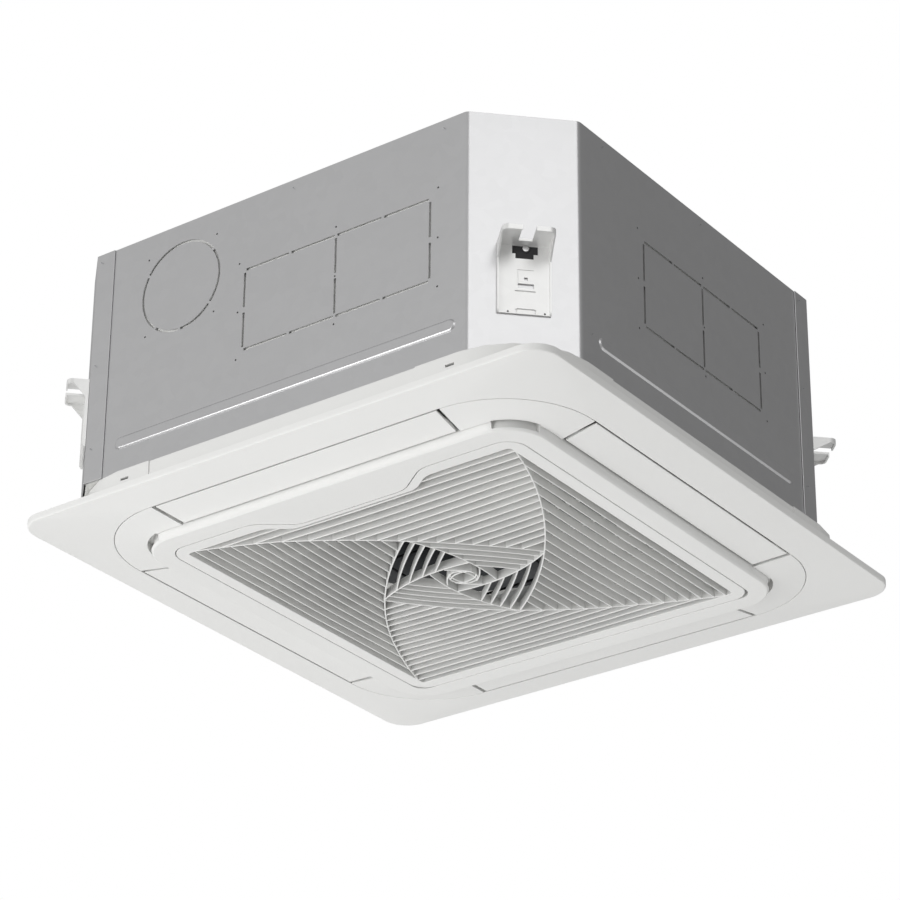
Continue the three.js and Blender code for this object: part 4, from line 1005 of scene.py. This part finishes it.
# ---------- casing ----------
def bent_outline(path, thick):
    """Outline of a bent sheet whose outer face follows the path."""
    ways = [(Vector(q) - Vector(p)).normalized() for p, q in zip(path, path[1:])]
    square = [Vector((-d.y, d.x)) for d in ways]
    inner = []
    for i, p in enumerate(path):
        normals = square[max(0, i - 1):i + 1]
        total = sum(normals, Vector((0, 0)))
        scale = thick if len(normals) == 1 else thick / (1 + normals[0].dot(normals[1]))
        inner.append((p[0] + total.x * scale, p[1] + total.y * scale))
    return list(path) + inner[::-1]


def sheet_block(x0, x1, z0, z1, turns):
    """A block through the -Y sheet, or through the sheet that many quarter turns on."""
    return quarter_turned(block("cut", (x0, -SKIN - CUT, z0), (x1, -SKIN + CUT, z1)), turns)


def sheet_rod(x, z, radius, steps=12, turns=0):
    return quarter_turned(rod("cut", "y", (x, z), -SKIN - CUT, -SKIN + CUT, radius, steps), turns)


def round_slit():
    """Ring-shaped slit of the round knock-out with its bridges."""
    ring = combined(sheet_rod(ROUND_AT, ROUND_Z, ROUND_R + SLIT / 2, 96),
                    [sheet_rod(ROUND_AT, ROUND_Z, ROUND_R - SLIT / 2, 96)])
    bars = []
    for angle in ROUND_BRIDGES:
        bar = block("bar", (-BRIDGE / 2, -SKIN - CUT - 1, 0), (BRIDGE / 2, -SKIN + CUT + 1, ROUND_R + CUT))
        bar.data.transform(Matrix.Translation((ROUND_AT * MM, 0, ROUND_Z * MM))
                           @ Matrix.Rotation(math.radians(90 - angle), 4, "Y"))
        bars.append(bar)
    return combined(ring, bars)


def pair_slits(pair, turns):
    """Slits round two rectangles side by side, every side in two lengths."""
    start, end, low, high = pair
    w, h = (end - start) / 4, (high - low) / 2
    made = []
    for z in (low, high):
        for i in range(4):
            x = start + w * i
            made.append(sheet_block(x + BRIDGE / 2, x + w - BRIDGE / 2, z - SLIT / 2, z + SLIT / 2, turns))
    for x in (start, (start + end) / 2, end):
        for z in (low, low + h):
            made.append(sheet_block(x - SLIT / 2, x + SLIT / 2, z + BRIDGE, z + h - BRIDGE, turns))
    return made


def bead(start, end, turns):
    """Stiffening bead with round ends, pressed outwards."""
    n = 12
    verts = []
    for share, out in BEAD_SECTION:
        r = BEAD_R * share
        for i in range(2 * n + 2):
            right = i <= n
            t = -math.pi / 2 + math.pi * (i if right else i - 1) / n
            mid = end - BEAD_R if right else start + BEAD_R
            verts.append((mid + r * math.cos(t), -SKIN - out, BEAD_Z + r * math.sin(t)))
    count = 2 * n + 2
    last = len(BEAD_SECTION) - 1
    faces = [tuple(range(count)), tuple(range(last * count, (last + 1) * count))]
    for k in range(last):
        for i in range(count):
            j = (i + 1) % count
            faces.append((k * count + i, k * count + j, (k + 1) * count + j, (k + 1) * count + i))
    return quarter_turned(outward(new_object("bead", verts, faces)), turns)


def rolled(path, corners, steps=6):
    """The open path with some corners rolled to a radius."""
    out = []
    for i, point in enumerate(path):
        p = Vector(point)
        if i not in corners:
            out.append(tuple(p))
            continue
        start = p + (Vector(path[i - 1]) - p).normalized() * BEND
        end = p + (Vector(path[i + 1]) - p).normalized() * BEND
        out += bend(start, p, end, steps)
    return out


def front_sheet():
    plan = body_plan(SKIN)
    path = [(plan[7][0] + GAP, plan[7][1]), plan[0], plan[1], (plan[2][0], plan[2][1] - GAP)]
    bent = rolled(path, (1, 2))
    sheet = softened(prism("sheet", bent_outline(bent, SHEET), BODY_LOW, BODY_TOP), 0.3, 2, 30)
    tools = [round_slit()] + pair_slits(PAIR_Y, 0) + pair_slits(PAIR_X, 1)
    tools += [sheet_rod(x, z, PIN_HOLE) for x, z in HOLES_Y]
    tools += [sheet_rod(y, z, PIN_HOLE, 12, 1) for y, z in HOLES_X]
    combined(sheet, [joined("slits", tools)])
    return shaded(joined("pressed_front_sheet", [sheet, bead(*BEAD_Y, 0), bead(*BEAD_X, 1)]), 30)


def screw():
    """Pan-head screw with a cross recess, its head on the plane z = 0."""
    arms = [block("arm", (-x, -y, RECESS_Z), (x, y, RECESS_TOP))
            for x, y in ((RECESS, RECESS_HALF), (RECESS_HALF, RECESS))]
    return shaded(combined(lathe("screw", SCREW_TURN, 20), arms))


def on_side(spots, out, turns):
    """Places and outward directions of things on a side."""
    found = []
    for x, z in spots:
        px, py = quarter((x, -SKIN - out), turns)
        dx, dy = quarter((0, -1), turns)
        found.append(((px, py, z), (dx, dy, 0)))
    return found


def studded(name, spots, template, slot):
    """Geometry nodes set the template on every spot, its top facing outwards."""
    obj = new_object(name, [place for place, _ in spots], [])
    facing = obj.data.attributes.new("facing", "FLOAT_VECTOR", "POINT")
    for i, (_, direction) in enumerate(spots):
        facing.data[i].vector = direction
    growth = Growth(name, [("Template", "NodeSocketObject")])
    source = growth.start.outputs
    shape = growth.node("GeometryNodeObjectInfo", {}, {"Object": source["Template"]}, "Geometry")
    way = growth.node("GeometryNodeInputNamedAttribute", {"data_type": "FLOAT_VECTOR"}, {"Name": "facing"})
    turn = growth.node("FunctionNodeAlignRotationToVector", {"axis": "Z"}, {"Vector": way})
    set_on = growth.node("GeometryNodeInstanceOnPoints", {},
                         {"Points": source["Geometry"], "Instance": shape, "Rotation": turn})
    growth.close(set_on, FINISHES[slot])
    growth.grow(obj, {"Template": template})
    bpy.data.objects.remove(template)
    return placed(obj, "unit", slot)


def add_screws():
    flange = BODY - SKIN
    spots = on_side(SCREWS_Y, 0, 0) + on_side(SCREWS_X, 0, 1)
    spots += on_side(SCREWS_LEFT, flange, 0) + on_side(SCREWS_RIGHT, flange, 1)
    spots += on_side([(-y, z) for y, z in SCREWS_RIGHT], flange, 2)
    spots += on_side([(-x, z) for x, z in SCREWS_LEFT], flange, 3)
    spots += on_side(SCREWS_FAR_Y, 0, 2) + on_side(SCREWS_FAR_X, 0, 3)
    studded("casing_screws", spots, screw(), "motor_steel")


def bracket_lip(nose, reach):
    """Upright edge round the plate."""
    w, end = BRACKET_W / 2 - BRACKET_SHEET, reach - BRACKET_SHEET
    low, top = BRACKET_TOP - BRACKET_T, BRACKET_TOP + BRACKET_T
    inner = rounded_outline([(0, -w), (end, -w), (end, w), (0, w)], {1: NOSE_R - 1, 2: NOSE_R - 1})
    inside = prism("inside", [(-1, -w)] + inner + [(-1, w)], low - 1, top + 1)
    return combined(prism("lip", nose, low, top), [inside])


def bracket_ears(reach):
    """Side flanges that widen under the plate."""
    w, flare, brow = BRACKET_W / 2, reach - FLARE_BACK, BRACKET_TOP + 2 * LAP
    outline = [(0, BRACKET_LOW + 5), (BRACKET_SHEET, BRACKET_LOW), (BRACKET_FOOT, BRACKET_LOW + 3),
               (BRACKET_FOOT, FLARE_Z), (flare, BRACKET_TOP - BRACKET_T), (flare, brow), (0, brow)]
    upright = Matrix(((1, 0, 0, 0), (0, 0, 1, 0), (0, 1, 0, 0), (0, 0, 0, 1)))
    ears = []
    for y in (-w, w - BRACKET_SHEET):
        ear = prism("ear", outline, y, y + BRACKET_SHEET)
        ear.data.transform(upright)
        ears.append(outward(ear))
    return ears


def bracket(corner):
    """Pressed hanger bracket: slotted plate on a flanged back, with its windows and tab."""
    reach, w, top = REACHES[corner], BRACKET_W / 2, BRACKET_TOP + BRACKET_T
    nose = rounded_outline([(0, -w), (reach, -w), (reach, w), (0, w)], {1: NOSE_R, 2: NOSE_R})
    back = block("back", (0, LAP - w, BRACKET_LOW), (BRACKET_SHEET, w - LAP, BRACKET_TOP + LAP))
    for part in [prism("plate", nose, BRACKET_TOP, top), bracket_lip(nose, reach)] + bracket_ears(reach):
        combined(back, [part], "UNION")
    half = ROD_SLOT / 2
    cuts = [block("slot", (reach - ROD_SLOT_L, -half, BRACKET_TOP - CUT), (reach + CUT, half, top + CUT))]
    cuts += [block("mark", (depth, y0, z0), (CUT, y1, z1)) for y0, y1, z0, z1, depth in BRACKET_MARKS]
    cuts += [rod("hole", "x", (y, BRACKET_LOW + 1.6), -1, CUT, BRACKET_HOLE_R, 12) for y in BRACKET_HOLES]
    return shaded(softened(combined(back, cuts), 0.25, 2), 35)


def bracket_plane(corner):
    """Distance of a bracket's back from the vertical axis."""
    cut = {"near": NEAR_C, "right": RIGHT_C, "far": FAR_C, "left": LEFT_C}[corner]
    bare = SKIN - BODY if corner in ("near", "far") else 0
    return (2 * BODY - cut) / math.sqrt(2) + bare + GAP


def add_brackets():
    for i, corner in enumerate(CORNERS):
        made = bracket(corner)
        made.name = f"pressed_bracket_{corner}"
        # the black plate behind the window is painted shade, not a real part
        shade_plate = block(f"bracket_pad_{corner}", SHADE_PLATE_LOW, SHADE_PLATE_HIGH)
        bolt = rod(f"bracket_bolt_{corner}", "x", BOLT_AT, GAP, BOLT_OUT, BOLT_R, 24)
        shaded(softened(bolt, 0.4), 40)
        out = Matrix.Translation((bracket_plane(corner) * MM, 0, 0))
        place = Matrix.Rotation((i - 0.5) * math.pi / 2, 4, "Z") @ out
        for piece in (made, shade_plate, bolt):
            piece.data.transform(place)
        placed(made, "unit", "bracket_zinc", f"hanger_bracket_{corner}")
        placed(shade_plate, "unit", "rubber_black")
        placed(bolt, "unit", "shaft_steel")


def bell_mouth():
    """Turned inlet ring whose flare runs smoothly into its throat."""
    low, mid, top = BODY_LOW - MOUTH_T, BODY_LOW + 16, FAN_LOW + 8
    outline = [(THROAT_R, top), (THROAT_R, FAN_LOW - 10), (THROAT_R + 6, mid - 2), (THROAT_R + 20, low + 2),
               (MOUTH_R, low), (MOUTH_R, BODY_LOW), (THROAT_R + 28, BODY_LOW), (THROAT_R + 21, low + 4),
               (THROAT_R + 7.6, mid), (THROAT_R + MOUTH_T, FAN_LOW - 9), (THROAT_R + MOUTH_T, top)]
    bends = {1: 12, 2: 12, 3: 12, 7: 9, 8: 12, 9: 12}
    return shaded(lathe("turned_bell_mouth", rounded_outline(outline, bends), 96), 40)


def add_round_pieces():
    """Turned and moulded pieces whose facets are shaded into smooth sides."""
    slots = {entry["node"]: entry["material_slot"] for entry in frame["record"]["subparts"]}
    for node in ROUND_PIECES + TURNING_PIECES:
        copy = shaded(softened(node_copy(node, f"smooth_{node}"), 0.25, 2, 40), 34)
        placed(copy, "fan" if node in TURNING_PIECES else "unit", slots[node], node)


def add_casing():
    placed(front_sheet(), "unit", "sheet_zinc", "front_sheet")
    for node in ("rear_sheet", "corner_plate_left", "corner_plate_right", "top_plate"):
        copy = shaded(softened(node_copy(node, f"pressed_{node}"), 0.3, 2, 30), 30)
        placed(copy, "unit", "sheet_zinc", node)
    housing = shaded(softened(node_copy("panel_housing", "moulded_housing"), 0.5, 2, 30), 30)
    placed(housing, "unit", "housing_white", "panel_housing")
    add_screws()
    add_brackets()
    add_round_pieces()
    placed(bell_mouth(), "unit", "mouth_plastic", "bell_mouth")


# ---------- stage ----------
def add_camera():
    data = bpy.data.cameras.new("camera")
    data.lens = CAMERA_LENS
    data.sensor_width = SENSOR
    data.shift_x, data.shift_y = FRAMING
    data.clip_end = 50
    camera = bpy.data.objects.new("camera", data)
    turn = CAMERA_LOOK.to_track_quat("-Z", "Y").to_matrix().to_4x4()
    camera.matrix_world = Matrix.Translation(CAMERA_AT) @ turn @ Matrix.Rotation(CAMERA_ROLL, 4, "Z")
    bpy.context.scene.collection.objects.link(camera)
    bpy.context.scene.camera = camera


def add_lamp(name, at, size, power):
    data = bpy.data.lights.new(name, "AREA")
    data.shape = "SQUARE"
    data.size = size
    data.energy = power
    lamp = bpy.data.objects.new(name, data)
    way = LAMP_AIM - Vector(at)
    lamp.matrix_world = Matrix.Translation(at) @ way.to_track_quat("-Z", "Y").to_matrix().to_4x4()
    bpy.context.scene.collection.objects.link(lamp)


def add_world():
    """Soft light that grows towards one side, with a white ground behind the object."""
    world = bpy.data.worlds.new("studio")
    world.use_nodes = True
    world.node_tree.nodes.clear()
    sky = Shading(world.node_tree)
    seen = sky.node("ShaderNodeLightPath", {}, {}, "Is Camera Ray")
    through = sky.node("ShaderNodeLightPath", {}, {}, "Is Transmission Ray")
    ways = {0: sky.node("ShaderNodeTexCoord", {}, {}, "Generated"), 1: SKY_WAY.normalized()}
    along = sky.node("ShaderNodeVectorMath", {"operation": "DOT_PRODUCT"}, ways, "Value")
    light = along * SKY_SLOPE + SKY_LEVEL
    strength = sky.node("ShaderNodeMix", {}, {"Factor": seen.most(through), 2: light, 3: 1.0})
    ground = sky.node("ShaderNodeBackground", {}, {"Color": (1, 1, 1, 1), "Strength": strength})
    sky.end("ShaderNodeOutputWorld", ground)
    bpy.context.scene.world = world


def add_floor():
    far, low = FLOOR_HALF / MM, FLOOR_Z / MM
    verts = [(-far, -far, low), (far, -far, low), (far, far, low), (-far, far, low)]
    floor = new_object("studio_floor", verts, [(0, 1, 2, 3)])
    floor.data.materials.append(moulded_plastic("floor_paper", (0.85, 0.85, 0.85), 0.9, 0.0))


def add_stage():
    bpy.context.scene.view_settings.view_transform = "Standard"
    add_camera()
    add_world()
    for lamp in LAMPS:
        add_lamp(*lamp)
    add_floor()


add_stage()
dress_nodes()
add_panel()
add_grille()
add_casing()
